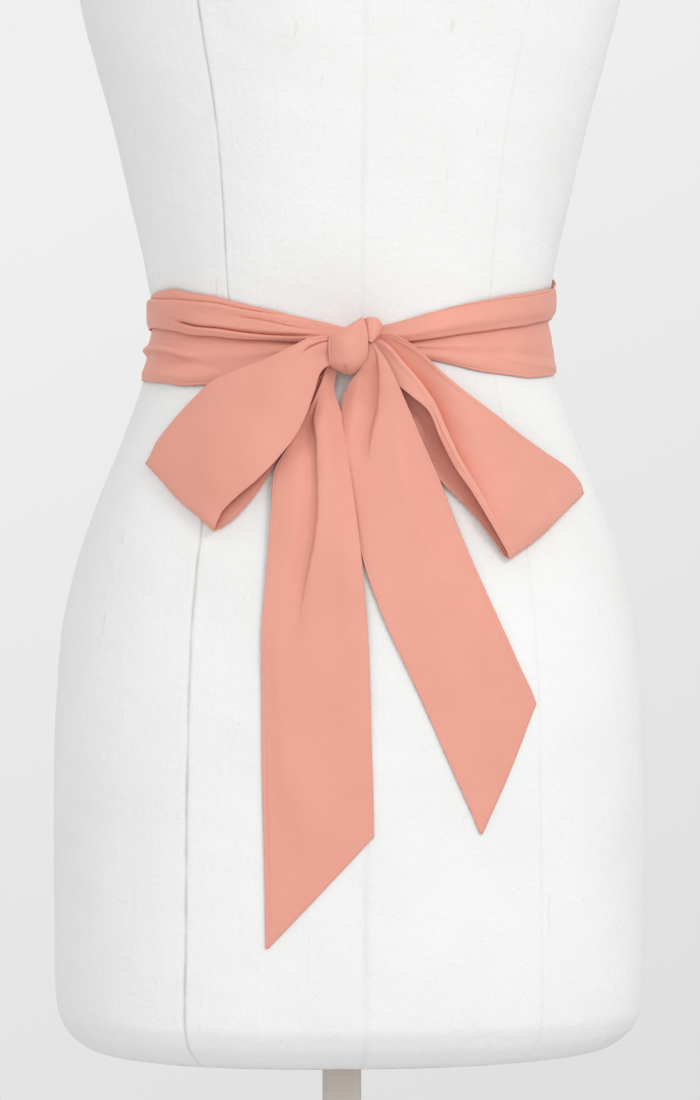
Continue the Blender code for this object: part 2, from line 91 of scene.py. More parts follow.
# The view
CAMERA_DISTANCE = 2.0
CAMERA_TURN = math.radians(-4.5)
CAMERA_DROP = 132.0
LENS = 109.1
SENSOR_WIDTH = 36.0
VIEW_GAMMA = 0.79

# The room: a little darker in front of the form than behind it, and darker low down and to
# the right than high up and to the left
ROOM_COLOUR = (0.995, 0.995, 1.0)
ROOM_DARK_SIDE = (-0.1, -0.9, -0.15)
ROOM_LIGHT = 0.895
ROOM_DARK = 0.80
BACKDROP_FALL = (-0.5, 0.0, 1.0)
BACKDROP_DARK = 0.885
FLOOR_COLOUR = (0.76, 0.76, 0.77)
FLOOR_RADIUS = 3.2
FLOOR_CORNERS = 96
FLOOR_DROP = 0.0005

# The lights, aimed at a point below the waist
Light = namedtuple("Light", "name place size power colour")
LIGHTS = [
    Light("key", (1.25, -2.0, 2.4), 0.8, 16.0, (1.0, 0.992, 0.98)),
    Light("front", (-0.45, -2.7, 1.15), 1.0, 9.0, (0.985, 0.99, 1.0)),
]
AIM_BELOW_WAIST = 0.1

# Colours of the cloth, the form and the stand
SATIN_DEEP = (0.80, 0.388, 0.30)
SATIN_LIGHT = (0.84, 0.418, 0.33)
SATIN_FLECK = (0.90, 0.53, 0.46)
LINEN_DEEP = (0.865, 0.868, 0.855)
LINEN_LIGHT = (0.90, 0.903, 0.895)
LINEN_SLUB = (0.70, 0.66, 0.58)
LINEN_SPECK = (0.56, 0.53, 0.47)
BARE_HEM = (0.50, 0.40, 0.26)
SEAM_DIRT = (0.36, 0.34, 0.31)
PAINT_DEEP = (0.66, 0.62, 0.575)
PAINT_LIGHT = (0.75, 0.71, 0.67)
PAINT_SCUFF = (0.52, 0.48, 0.44)
BLACK = (0.0, 0.0, 0.0)
WHITE = (1.0, 1.0, 1.0)

# Cross sections of the form, from the hem up to the top of the neck
FormSection = namedtuple("FormSection", "height half_width front back squareness")
FORM_SECTIONS = [FormSection(*row) for row in (
    (-432, 130, 74, 71, 2.3),
    (-430, 143, 87, 84, 2.3),
    (-427, 156, 99, 97, 2.3),
    (-421, 165, 107, 105, 2.3),
    (-414, 171, 113, 110, 2.3),
    (-403, 175, 118, 115, 2.3),
    (-376, 176.5, 119.5, 116, 2.3),
    (-282, 177, 120, 118, 2.3),
    (-234, 176, 119.5, 121, 2.3),
    (-186, 173, 118, 122, 2.3),
    (-150, 166, 115, 118, 2.25),
    (-102, 150.5, 108, 107, 2.2),
    (-66, 136, 100, 96, 2.2),
    (-33, 124.2, 92.5, 87, 2.2),
    (0, 117.2, 88, 82, 2.2),
    (36, 122.6, 91, 84, 2.2),
    (72, 130.5, 96, 87, 2.2),
    (126, 143, 105, 91, 2.25),
    (162, 153, 110, 93, 2.3),
    (198, 162, 113, 95, 2.3),
    (240, 166, 114, 98, 2.3),
    (285, 165, 109, 102, 2.3),
    (325, 169, 98, 103, 2.3),
    (352, 172, 84, 97, 2.25),
    (370, 162, 72, 88, 2.2),
    (386, 138, 63, 78, 2.15),
    (402, 106, 57, 70, 2.1),
    (418, 80, 54, 65, 2.05),
    (436, 63, 52, 61, 2.0),
    (456, 57, 50, 58, 2.0),
    (472, 56, 49.5, 57.5, 2.0),
    (474, 54, 47.5, 55.5, 2.0),
)]
BUST_SPREAD = 74.0
BUST_HEIGHT = 212.0
BUST_FULLNESS = 9.0

# Seams of the form's cover: the angle of each, in degrees from the front, at each height
SeamRow = namedtuple("SeamRow", "height princess side back_princess")
SEAM_ROWS = [SeamRow(*row) for row in (
    (-432, 33, 90, 146),
    (-350, 32, 90, 146),
    (-200, 31.6, 90, 146),
    (-126, 33.5, 90, 146),
    (-60, 36.2, 90, 147),
    (14, 38, 90, 148),
    (70, 35.7, 90, 147),
    (136, 34, 90, 145),
    (212, 33.6, 90, 143),
    (300, 36, 90, 141),
    (370, 50, 90, 130),
    (474, 45, 90, 135),
)]

# The cover: about how wide a degree of it is, its end rings and its seams' grooves
MM_PER_DEGREE = 1.9
CAP_SHARES = (0.7, 0.4, 0.15, 0.04)
SEAM_HALF_WIDTH = 0.5
SEAM_SHOULDER = 0.10
SEAM_DEPTHS = (0.16, 0.2, 0.4, 0.4, 0.4, 0.4, 0.4, 0.42, 0.16)
SEAM_STAINS = (0.06, 0.08, 0.3, 0.3, 0.35, 0.3, 0.3, 0.5, 0.09)

# The band, from its right end under the knot, round the back, to its left end under the knot
BandRow = namedtuple("BandRow", "angle top lap_edge bottom lap_depth ridge")
BAND_ROWS = [BandRow(*row) for row in (
    (2, -5, -11.5, -17, 2.5, 5.0),
    (9, -0.8, -12, -18.8, 3, 4.8),
    (17, 4.6, -9.8, -22.2, 4, 4.6),
    (33, 11.7, -5.4, -29.2, 6, 4.4),
    (50, 17.8, -0.6, -31, 7, 4.2),
    (68, 22.2, 4, -28.8, 7, 4.0),
    (86, 25.4, 6.6, -25.8, 6, 3.8),
    (93, 29.0, 6.6, -25.8, 6, 4.0),
    (99, 32.4, 6.6, -25.8, 6, 4.2),
    (112, 29.4, 6.0, -27, 6, 4.4),
    (130, 27, 4, -29, 6, 4.8),
    (180, 26, 1, -31, 7, 5.2),
    (230, 20, -1, -32, 6, 4.6),
    (262, 13.4, 0, -30.4, 5, 3.6),
    (272, 14.5, 0.4, -31, 5, 3.4),
    (283, 19.2, -0.6, -32.5, 5, 3.8),
    (296, 20.4, -3.2, -34.4, 6, 4.6),
    (308, 17.4, -6.6, -36.8, 6, 5.0),
    (318, 14, -8.6, -37.2, 6, 5.2),
    (326, 10.6, -10, -35.4, 5, 5.2),
    (342, 2.8, -12.2, -26.4, 4, 5.2),
    (349, -0.9, -12.8, -21.5, 3, 4.8),
    (356.5, -5.2, -12.6, -17.4, 2.5, 4.0),
)]

# A strip of cloth in front of the form, a row for each section from edge to edge. Its bulge
# and its gathers are zero where they aren't given.
StripRow = namedtuple(
    "StripRow", "edge_x edge_z edge_lift far_x far_z far_lift bulge gather", defaults=(0.0, 0.0))
LEFT_LOOP_ROWS = [StripRow(*row) for row in (
    (-10, -16.5, 9, -10, -22, 9, 0, 0.3),
    (-16, -17, 9, -15, -25, 8.5, 0, 0.6),
    (-23, -19, 8.7, -20, -33, 8, 0, 0.8),
    (-35, -24, 8, -30.5, -49, 6.5, 0.5, 0.8),
    (-51, -29, 7, -42, -68, 5, 0.5, 0.5),
    (-68, -34.5, 5.5, -50.5, -83, 3.2, 0, 0.3),
    (-82, -41.5, 3.6, -59.7, -97.7, 2.4, 0, 0.2),
    (-95.2, -53.2, 2.5, -67.9, -108, 2.2),
    (-108.8, -67.8, 2.3, -75.7, -115.6, 2.3),
    (-120.6, -79.8, 2.3, -83.6, -120.4, 2.3),
    (-124, -81.6, 4.6, -85.4, -121.3, 4.6, 0.2),
    (-121.8, -78.5, 7.2, -85, -119.5, 7.2, 0.6),
    (-117.6, -69.9, 9, -81.4, -111, 9.2, 1.5),
    (-108.5, -58, 10.5, -73, -102, 11.5, 2.5),
    (-96.6, -45, 12, -61.8, -92.5, 13.5, 3.5),
    (-85.4, -34.8, 14, -48.8, -79, 15, 4),
    (-71, -28.8, 16, -38, -64.5, 16, 4),
    (-55.5, -23, 17.5, -32, -51.5, 16.5, 3),
    (-42, -16.5, 18, -28.5, -41.5, 17, 1.8),
    (-31, -11.5, 18, -25.5, -32, 17, 1.0),
    (-21, -10, 18, -20.5, -27.5, 17, 0.6),
    (-12, -12, 17.6, -12, -26.5, 17, 0.2),
)]
RIGHT_LOOP_ROWS = [StripRow(*row) for row in (
    (-2, -14.5, 8, -2, -20, 8, 0, 0.3),
    (5, -14.5, 8, 3, -21.5, 8, 0, 0.5),
    (13, -16.5, 8, 7, -28, 8, 0, 0.7),
    (23, -22, 7.6, 13, -43.5, 6.8, 0, 0.7),
    (36.5, -31, 6.3, 22.5, -63.5, 4.4, 0, 0.5),
    (49.8, -43, 4.5, 34, -81, 2.8, 0, 0.3),
    (66, -54.4, 3, 45, -94.6, 2.3, 0, 0.2),
    (83, -66.8, 2.3, 55.5, -104.8, 2.2),
    (100.4, -78.4, 2.2, 66, -116, 2.2),
    (116.6, -89.8, 2.3, 74.5, -127.6, 2.3),
    (129, -98.4, 2.3, 80.5, -136, 2.3),
    (132.4, -99, 4.6, 82.6, -137, 4.6, 0.2),
    (130.8, -93.8, 7, 81.3, -133.5, 7, 0.6),
    (122.6, -84.6, 9, 77, -126, 9.2, 1.5),
    (109.6, -77.2, 11.3, 70, -114.5, 12, 2.2),
    (92.8, -66.8, 14, 60.5, -99, 14, 2.0),
    (76.3, -54.7, 16, 51, -85.5, 16, 1.3),
    (60, -42.9, 17, 42.5, -68.5, 17, 0.6),
    (44.8, -30.8, 17, 36, -53, 16.4, 0.4),
    (31.6, -18, 16, 26.5, -44.5, 15.4, 0.3),
    (22, -11.5, 15, 18, -37, 14.2, 0.3),
    (15, -8.5, 14, 13, -27, 13.4, 0.2),
    (9, -8.5, 12.8, 8, -18, 12.8, 0.1),
    (3.5, -10.5, 12.6, 3.5, -17.5, 12.6),
    (-3, -11.5, 12.6, -3, -17, 12.6),
)]
LEFT_TAIL_ROWS = [StripRow(*row) for row in (
    (-20, -23, 12.4, -13.5, -24, 10.2),
    (-25, -37.5, 12, -17, -40, 7.4, 0.4),
    (-33, -54.5, 10, -13.4, -52.5, 4.6, 1.3),
    (-42, -70.5, 8, -10.9, -69.5, 3.6, 1.9),
    (-52, -90, 5, -8, -90, 4.4, 1.9),
    (-53.8, -115, 3.4, -5, -115, 4.6, 2.2),
    (-56.7, -149, 2.4, -1.5, -149, 3.6, 1.4),
    (-59.4, -186, 1.6, 0.8, -182, 2.4, 0.8),
    (-59.2, -230, 1.2, 2.0, -213, 1.6, 0.5),
    (-58.5, -276, 1.1, 2.8, -244, 1.3, 0.3),
    (-57.5, -320, 1.1, 3.7, -271, 1.2, 0.1),
    (-57.0, -358.4, 1.1, 4.1, -293.8, 1.1),
)]
RIGHT_TAIL_ROWS = [StripRow(*row) for row in (
    (-3, -12.5, 14.8, 3, -11, 14.8),
    (-2, -17.5, 16.2, 6, -14.5, 16),
    (-2, -26.5, 16.4, 12, -24, 17.4),
    (-8, -36.5, 9.0, 17.6, -35, 16.6, 0.9),
    (-13, -51, 3.0, 24.8, -51, 12.5, 2.0),
    (-12.5, -69.5, 3.2, 33.2, -70.5, 9, 1.7),
    (-9.2, -93, 3, 41.4, -89, 6.2, 1.2),
    (-3.2, -132, 2, 53.4, -120, 3.6, 1),
    (9, -169, 1.5, 62.8, -142, 2.4, 0.6),
    (23.4, -200, 1.3, 74.2, -167, 1.6, 0.4),
    (37.1, -230, 1.1, 83, -186, 1.3, 0.3),
    (47.7, -254, 1.1, 90, -201.2, 1.2, 0.2),
    (58, -276.6, 1.1, 95.2, -211.6, 1.1, 0.1),
    (65.6, -294.6, 1.1, 98.4, -219.6, 1.1),
)]

# Rays of the tuck at the knot's top right, from its scalloped edge down to where it goes in
TuckRay = namedtuple("TuckRay", "out_x out_z out_lift in_x in_z in_lift")
TUCK_RAYS = [TuckRay(*row) for row in (
    (-2.4, -2.6, 12.0, -0.4, -12.0, 15.0),
    (0.8, 0.0, 14.9, 1.4, -13.0, 17.2),
    (4.2, 0.6, 15.9, 2.6, -13.7, 18.0),
    (7.6, -0.5, 15.6, 3.4, -14.0, 17.8),
    (9.8, -2.9, 14.9, 4.2, -13.9, 17.2),
    (9.9, -6.0, 14.1, 4.9, -13.4, 16.4),
    (8.2, -9.4, 13.4, 5.2, -12.9, 15.0),
)]

# The knot's wrap, from its top at the back, over its front, to its underside
WrapRow = namedtuple(
    "WrapRow", "left_x left_z left_lift mid_x mid_z mid_lift right_x right_z right_lift")
WRAP_ROWS = [WrapRow(*row) for row in (
    (-16, -10, 6.4, -9, -7.5, 6, -2.5, -4.5, 6.4),
    (-17.5, -9.0, 12, -9.6, -5.2, 11.5, -2.2, -1.2, 10.4),
    (-19, -8.8, 17.0, -9.6, -5.0, 19.5, -1.2, 0.4, 15.4),
    (-20.4, -11.0, 19.4, -9.8, -7.4, 23.6, 0.6, -3.5, 17.8),
    (-20.9, -16, 19.9, -9.6, -15, 26.0, 1.8, -12, 19.4),
    (-20.8, -21.0, 19.6, -9.6, -20.6, 25.4, 1.6, -18, 19.8),
    (-20.4, -24.8, 18.8, -9.4, -25.2, 24.0, 0.2, -23.4, 19.6),
    (-19.4, -27.4, 17.0, -8.6, -29.8, 19.4, -2.2, -27.2, 17.6),
    (-17.6, -28.6, 14.0, -8.4, -32.2, 11.6, -4.2, -28.8, 14.2),
)]

# Moves across and upward that round the far folds of the loops and the right tail's end
Nudge = namedtuple("Nudge", "row row_reach place place_reach move_x move_z")

# Creases. Each runs through the given rows of its strip at the given places
# across it, 0 at the edge and 1 at the far edge. Its depth is below zero for a trough and
# above it for a ridge, and its step raises the cloth on the far side of it. Its far side is
# as wide as its near side times the far share.
Crease = namedtuple(
    "Crease", "rows places half_width depth step far_share", defaults=(0.0, 1.0))
LEFT_LOOP_CREASES = [Crease(*row) for row in (
    ((18.1, 18.9, 20, 21), (0.25, 0.23, 0.2, 0.2), 0.7, -1.8, 0.5),
    ((18.8, 20.0, 21), (0.08, 0.1, 0.12), 0.5, -0.8),
    ((16.6, 17.8, 19.2, 21), (0.05, 0.1, 0.13, 0.16), 1.9, 1.1),
    ((17.4, 18.6, 20), (0.36, 0.34, 0.3), 3.0, 0.7),
    ((18.6, 19.6, 20.8), (0.66, 0.62, 0.6), 2.2, -0.5),
    ((12.2, 14, 16), (0.24, 0.22, 0.26), 11.0, -0.9),
    ((11.8, 13.4, 15.6), (0.72, 0.7, 0.62), 12.0, 1.0),
    ((10.6, 11.8, 13), (0.5, 0.46, 0.4), 9.0, -0.8),
    ((3, 5, 8), (0.4, 0.45, 0.5), 6.0, -0.5),
)]
RIGHT_LOOP_CREASES = [Crease(*row) for row in (
    ((14.6, 15.6, 16.6, 17.6, 18.8, 20.2, 21.6),
     (0.03, 0.03, 0.035, 0.045, 0.07, 0.1, 0.14), 1.0, 0.45),
    ((15.1, 16, 17, 18.2), (0.945, 0.935, 0.915, 0.88), 0.55, -0.7),
    ((15.6, 16.4, 17.4), (0.975, 0.97, 0.96), 0.4, -0.45),
    ((12.4, 13.8, 15.2), (0.34, 0.42, 0.5), 8.0, -0.8),
    ((11.4, 12.8, 14.6), (0.6, 0.68, 0.74), 9.0, 1.0),
    ((3, 5, 8), (0.5, 0.5, 0.5), 6.0, -0.5),
)]
LEFT_TAIL_CREASES = [Crease(*row) for row in (
    ((1.2, 2.1, 3, 4, 4.8, 5.3, 6, 6.8), (0.2, 0.26, 0.466, 0.568, 0.55, 0.51, 0.42, 0.35),
     0.45, 3.4, 0.0, 24.0),
    ((1.6, 2.4, 3, 4, 5, 6, 7.6), (0.08, 0.2, 0.33, 0.47, 0.42, 0.34, 0.28), 4.6, -2.2),
    ((1.3, 2.0, 2.8, 3.6), (0.02, 0.06, 0.14, 0.26), 6.0, -3.0),
    ((2.0, 3.2, 4.8, 6.2, 7.4), (0.66, 0.72, 0.8, 0.84, 0.84), 5.0, 1.0),
    ((5.8, 7.4, 9), (0.74, 0.7, 0.68), 7.0, -0.6),
    ((6.4, 7.6, 9.4), (0.14, 0.16, 0.2), 5.0, 0.8),
    ((8, 9.2, 10.4), (0.28, 0.36, 0.42), 9.0, 0.5),
    ((7.6, 9.2, 10.8), (0.035, 0.04, 0.045), 0.5, -0.35),
)]
RIGHT_TAIL_CREASES = [Crease(*row) for row in (
    ((1.0, 1.6, 2, 3, 4, 4.5, 5, 5.7), (0.8, 0.79, 0.68, 0.637, 0.545, 0.44, 0.35, 0.26),
     0.45, 2.6, 0.0, 22.0),
    ((1.4, 2, 3, 4, 5, 6), (0.5, 0.4, 0.43, 0.4, 0.24, 0.12), 4.4, -2.0),
    ((2.4, 3.2, 4, 4.8, 5.8), (0.2, 0.2, 0.16, 0.1, 0.06), 3.4, 1.0),
    ((2.6, 3.6, 4.6, 6, 7.2), (0.86, 0.82, 0.74, 0.6, 0.52), 5.5, 1.2),
    ((5.2, 6.6, 8.2), (0.86, 0.82, 0.8), 7.0, -0.7),
    ((7.2, 8.6, 10.4), (0.36, 0.36, 0.4), 9.0, 0.5),
    ((7.6, 9.4, 11.6), (0.955, 0.95, 0.955), 0.5, -0.35),
    ((9.4, 10.6, 12), (0.62, 0.66, 0.7), 6.0, -0.6),
)]
RIGHT_TAIL_NUDGES = [Nudge(13.0, 1.3, 0.5, 0.32, 0.8, -0.4)]
WRAP_CREASES = [Crease(*row) for row in (
    ((0.5, 2.5, 5, 7.6), (0.055, 0.055, 0.06, 0.07), 0.4, -0.35),
    ((1.6, 3, 4.6), (0.84, 0.86, 0.88), 1.4, -0.7),
    ((6.2, 7.2, 8.0), (0.34, 0.37, 0.4), 1.5, -1.8),
    ((6.6, 7.3, 8.0), (0.74, 0.7, 0.64), 1.3, -1.4),
    ((2.4, 4, 5.4), (0.34, 0.3, 0.34), 4.0, 0.5),
)]

# The right loop's face falls from its rim to the foot of a folded strip along its other edge.
# Each row gives the foot's place, its depth, and how far the strip stands above it. A power
# above one makes the fall start gently, and a power below one makes it start steeply.
Valley = namedtuple("Valley", "row place depth strip power")
VALLEY_ANCHOR = 0.6
RIGHT_LOOP_VALLEY = [Valley(*row) for row in (
    (9.0, 0.6, 0.0, 0.0, 2.0),
    (12.0, 0.9, 0.0, 0.0, 2.0),
    (13.0, 0.945, 0.8, 0.5, 2.2),
    (14.0, 0.925, 2.8, 2.1, 2.2),
    (15.0, 0.895, 6.0, 4.9, 2.0),
    (16.0, 0.855, 9.4, 8.0, 1.8),
    (17.0, 0.785, 10.8, 9.4, 1.4),
    (18.0, 0.685, 9.8, 8.5, 1.1),
    (19.0, 0.54, 8.2, 7.1, 0.85),
    (20.0, 0.43, 6.4, 5.4, 0.7),
    (21.0, 0.37, 4.4, 3.7, 0.8),
    (22.0, 0.34, 2.4, 2.0, 0.8),
    (23.0, 0.34, 0.8, 0.7, 0.8),
    (24.0, 0.34, 0.0, 0.0, 0.8),
)]

LEFT_LOOP_NUDGES = [
    Nudge(10.2, 2.4, 0.5, 0.26, -1.0, -1.2),
    Nudge(10.2, 2.0, 0.12, 0.12, 0.5, -0.3),
]
RIGHT_LOOP_NUDGES = [
    Nudge(11.2, 2.4, 0.62, 0.26, 1.0, -1.3),
]

# Folds of the band: at each angle the height where the fold runs. The step is how far the
# cloth below it stands out from the cloth above it.
BandFold = namedtuple("BandFold", "angles heights half_width depth step", defaults=(0.0,))
BAND_FOLDS = [BandFold(*row) for row in (
    ((266, 274, 282, 292, 310, 320, 332, 344, 352),
     (13.0, 15.4, 16.2, 14.7, 12.0, 9.4, 4.9, 0.2, -7.0), 0.7, -1.5, 1.9),
    ((297.5, 299, 304, 313, 320, 326, 337, 345, 352),
     (3.0, 2.2, 0.2, -3.0, -4.5, -5.9, -8.8, -9.5, -10.1), 0.9, -3.6, 1.2),
    ((284, 291, 300, 308, 314), (9.0, 9.4, 8.0, 5.6, 3.0), 4.0, 0.9),
    ((262, 276, 290, 305, 316), (-12.6, -13.0, -13.4, -18.2, -21.5), 2.6, 3.2),
    ((284, 296, 309, 320, 328), (-18.0, -18.6, -23.2, -27.6, -28.4), 2.6, -0.9),
    ((304, 316, 328, 340), (-12.0, -12.4, -14.4, -16.4), 3.6, -1.2),
    ((270, 278, 290, 302, 318), (-27.0, -27.6, -29.0, -31.0, -32.5), 3.4, 1.3),
    ((8, 20, 36, 54, 72), (-5.0, -1.0, 4.0, 9.0, 12.0), 5.0, 0.9),
    ((36, 50, 64, 80), (-20.2, -22.2, -23.4, -24.0), 1.7, 0.9),
    ((44, 60, 78, 90), (-16.4, -18.0, -18.8, -19.0), 1.9, -0.7),
    ((84, 92, 99, 107), (1.0, 1.4, 2.0, 2.0), 1.4, 1.5),
    ((84, 92, 100, 110), (22.4, 23.6, 25.0, 24.4), 1.6, -1.4),
    ((88, 94, 101, 110), (27.0, 30.0, 32.0, 30.0), 2.4, 2.4),
    ((74, 84, 96, 108), (10.0, 10.0, 10.0, 10.0), 14.0, 0.9),
    ((244, 260, 276, 290), (-18.0, -18.0, -18.0, -18.0), 14.0, -0.8),
    ((324, 332, 341, 350), (3.0, 0.4, -3.6, -7.2), 0.6, -1.1, 0.8),
    ((14, 30, 50, 70, 86), (3.4, 9.4, 15.6, 20.6, 23.6), 0.55, -0.6),
    ((70, 88, 104, 120), (-13.0, -12.0, -13.0, -13.0), 3.0, 0.8),
    ((104, 140, 178, 206), (16.0, 14.0, 16.0, 12.0), 4.4, 1.5),
    ((112, 134, 160, 184), (8.6, 9.4, 10.0, 8.8), 1.4, -1.8),
    ((112, 150, 190, 226), (-12.0, -11.0, -13.0, -12.0), 4.4, 1.7),
    ((150, 186, 222, 250), (-24.0, -23.0, -24.0, -22.0), 3.4, 1.5),
    ((176, 200, 230, 256), (-17.6, -17.0, -17.0, -16.4), 1.3, -1.6),
    ((206, 232, 254, 270), (8.0, 9.0, 7.0, 6.0), 3.6, 1.2),
)]


def steady_slopes(places, values):
    """Slopes at the given places that never carry a curve past its own points."""
    steps = np.diff(places)[:, None]
    rates = np.diff(values, axis=0) / steps
    slopes = np.zeros_like(values)
    slopes[0] = rates[0]
    slopes[-1] = rates[-1]
    same = rates[:-1] * rates[1:] > 0.0
    before = 2.0 * steps[1:] + steps[:-1]
    after = steps[1:] + 2.0 * steps[:-1]
    first = np.where(same, rates[:-1], 1.0)
    second = np.where(same, rates[1:], 1.0)
    slopes[1:-1] = np.where(same, (before + after) / (before / first + after / second), 0.0)
    return slopes


def eased(share):
    """A share from 0 to 1 with a soft start and end."""
    return share * share * (3.0 - 2.0 * share)


def along_curve(places, values, slopes, wanted):
    """Values at the wanted places, on curves with the given slopes."""
    wanted = np.clip(wanted, places[0], places[-1])
    i = np.clip(np.searchsorted(places, wanted, side="right") - 1, 0, len(places) - 2)
    step = (places[i + 1] - places[i])[..., None]
    share = (wanted - places[i])[..., None] / step
    found = values[i] + (values[i + 1] - values[i]) * eased(share)
    found += slopes[i] * share * (1.0 - share) ** 2 * step
    return found + slopes[i + 1] * share * share * (share - 1.0) * step


def read_table(rows, places, wanted):
    """Columns of a table at the wanted places, as smooth curves through its rows."""
    places = np.asarray(places, float)
    values = np.asarray(rows, float)
    found = along_curve(places, values, steady_slopes(places, values), wanted)
    return type(rows[0])(*np.moveaxis(found, -1, 0))


def read_line(values, places, wanted):
    """One value at the wanted places, stood up as a column."""
    places = np.asarray(places, float)
    values = np.asarray(values, float)[:, None]
    return along_curve(places, values, steady_slopes(places, values), wanted)


def curve_through(values, knots, wanted):
    """Smooth curves through each station's points, whose knots are one apart."""
    moved = np.moveaxis(values, 1, 0)
    flat = moved.reshape(len(moved), -1)
    rates = np.diff(flat, axis=0)
    slopes = np.concatenate([rates[:1], (rates[:-1] + rates[1:]) / 2.0, rates[-1:]])
    found = along_curve(knots, flat, slopes, wanted)
    return np.moveaxis(found.reshape((len(wanted),) + moved.shape[1:]), 0, 1)


def as_columns(row):
    """A row's fields, each stood up as a column."""
    return type(row)(*[value[:, None] for value in row])


def form_at(height):
    """The form's section at each height."""
    return read_table(FORM_SECTIONS, [row.height for row in FORM_SECTIONS], height)


def bust_fullness(x, height):
    """How far the bust stands forward of the plain section."""
    across = (np.abs(x) - BUST_SPREAD) / 44.0
    upward = (height - BUST_HEIGHT) / 52.0
    return BUST_FULLNESS * np.exp(-across ** 2 - upward ** 2)


def front_depth(x, height):
    """Depth of the form's front at each width and height."""
    section = form_at(height)
    share = np.minimum(np.abs(x) / section.half_width, 0.999)
    power = section.squareness
    depth = section.front * (1.0 - share ** power) ** (1.0 / power)
    return depth + bust_fullness(x, height)


def before_form(x, z, lift):
    """Points that stand off the form's front by their lift."""
    return np.stack([x, -front_depth(x, z) - lift, z], -1)


def outline_points(angle, height, offset):
    """Points beside the form, at angles from its front that grow to the right."""
    section = form_at(height)
    power = section.squareness
    side = np.sin(angle)
    ahead = np.cos(angle)
    depth = np.where(ahead > 0.0, section.front, section.back)
    x = np.copysign(np.abs(side) ** (2.0 / power), side) * section.half_width
    y = -np.copysign(np.abs(ahead) ** (2.0 / power), ahead) * depth
    out_x = np.copysign(np.abs(x / section.half_width) ** (power - 1.0), x) / section.half_width
    out_y = np.copysign(np.abs(y / depth) ** (power - 1.0), y) / depth
    length = np.hypot(out_x, out_y)
    y = y - bust_fullness(x, height) * np.maximum(ahead, 0.0)
    return np.stack([x + out_x / length * offset, y + out_y / length * offset, height], -1)


def world(points):
    """Table points, which count from the waist in millimetres, in metres."""
    return (points + np.array([0.0, 0.0, WAIST])) * MM


def line_length(points):
    """Length of a line of points, in millimetres."""
    return np.linalg.norm(np.diff(points, axis=0), axis=1).sum() / MM


def ripple(across, along, seed, wavelength):
    """Smooth uneven waves between -1 and 1, the same each run."""
    spin = np.random.default_rng(seed)
    total = 0.0
    for i in range(7):
        turn = spin.uniform(0.0, math.tau)
        phase = spin.uniform(0.0, math.tau)
        wave = wavelength * spin.uniform(0.6, 1.7)
        total = total + np.sin((across * math.cos(turn) + along * math.sin(turn)) / wave
                               * math.tau + phase)
    return total / 4.0


def unit(vectors):
    """Vectors of length one."""
    return vectors / np.maximum(np.linalg.norm(vectors, axis=-1, keepdims=True), 1e-12)


def grid_normals(points):
    """Normals of a grid of points."""
    return unit(np.cross(np.gradient(points, axis=1), np.gradient(points, axis=0)))


def grid_faces(rows, columns, start=0, flip=False):
    """Faces of a grid of points, four corners each."""
    a = (np.arange(rows - 1)[:, None] * columns + np.arange(columns - 1)[None, :]).ravel() + start
    faces = np.stack([a, a + 1, a + columns + 1, a + columns], -1)
    return faces[:, ::-1] if flip else faces


def make_mesh(name, points, faces, uv=None):
    """Object of a mesh, with its flat cloth coordinates where given."""
    mesh = bpy.data.meshes.new(name)
    mesh.vertices.add(len(points))
    mesh.vertices.foreach_set("co", points.astype(np.float32).ravel())
    mesh.loops.add(faces.size)
    mesh.loops.foreach_set("vertex_index", faces.astype(np.int32).ravel())
    mesh.polygons.add(len(faces))
    mesh.polygons.foreach_set("loop_start", (np.arange(len(faces)) * 4).astype(np.int32))
    mesh.update(calc_edges=True)
    mesh.validate()
    if uv is not None:
        layer = mesh.uv_layers.new(name="cloth")
        layer.data.foreach_set("uv", uv[faces.ravel()].astype(np.float32).ravel())
    thing = bpy.data.objects.new(name, mesh)
    bpy.context.scene.collection.objects.link(thing)
    mesh.shade_smooth()
    return thing


def cloth_shell(name, middle, place, along, width, flat_width=SASH_WIDTH):
    """Closed cloth on a grid of its middle, with a soft edge all round, and its length."""
    rows, columns = middle.shape[:2]
    half_ply = edge_ply(np.atleast_2d(place), width) * end_ply(along, along[-1])[:, None]
    offset = grid_normals(middle) * half_ply[..., None] * MM
    points = np.concatenate([(middle + offset).reshape(-1, 3), (middle - offset).reshape(-1, 3)])
    count = rows * columns
    index = np.arange(count).reshape(rows, columns)
    loop = np.concatenate([index[0, :-1], index[:-1, -1], index[-1, :0:-1], index[:0:-1, 0]])
    after = np.roll(loop, -1)
    rim = np.stack([loop, loop + count, after + count, after], -1)
    faces = np.concatenate([
        grid_faces(rows, columns),
        grid_faces(rows, columns, count, True),
        rim])
    flat = np.broadcast_arrays(np.atleast_2d(place * flat_width), along[:, None])
    flat = np.stack(flat, -1).reshape(-1, 2) * MM
    return make_mesh(name, points, faces, np.concatenate([flat, flat])), along[-1]


def edge_places(width, step):
    """Places across a strip, closer together beside its edges."""
    near = np.array([0.0, 0.18, 0.42, 0.75, 1.1, 1.5, 2.0]) / width
    count = max(int(round((width - 4.0) / step)), 4)
    inner = np.linspace(2.0 / width, 1.0 - 2.0 / width, count)[1:-1]
    return np.concatenate([near, inner, 1.0 - near[::-1]])


def edge_ply(places, width):
    """Half the cloth's thickness across it: full inside, rounded and pressed at the edges."""
    inward = np.minimum(places, 1.0 - places) * width
    full = CLOTH_PLY / 2.0
    round_edge = np.sqrt(np.clip(1.0 - (1.0 - np.minimum(inward / 0.5, 1.0)) ** 2, 0.03, 1.0))
    pressed = 0.2 * np.exp(-((inward - PRESSED_EDGE) / 0.35) ** 2)
    return full * round_edge - pressed


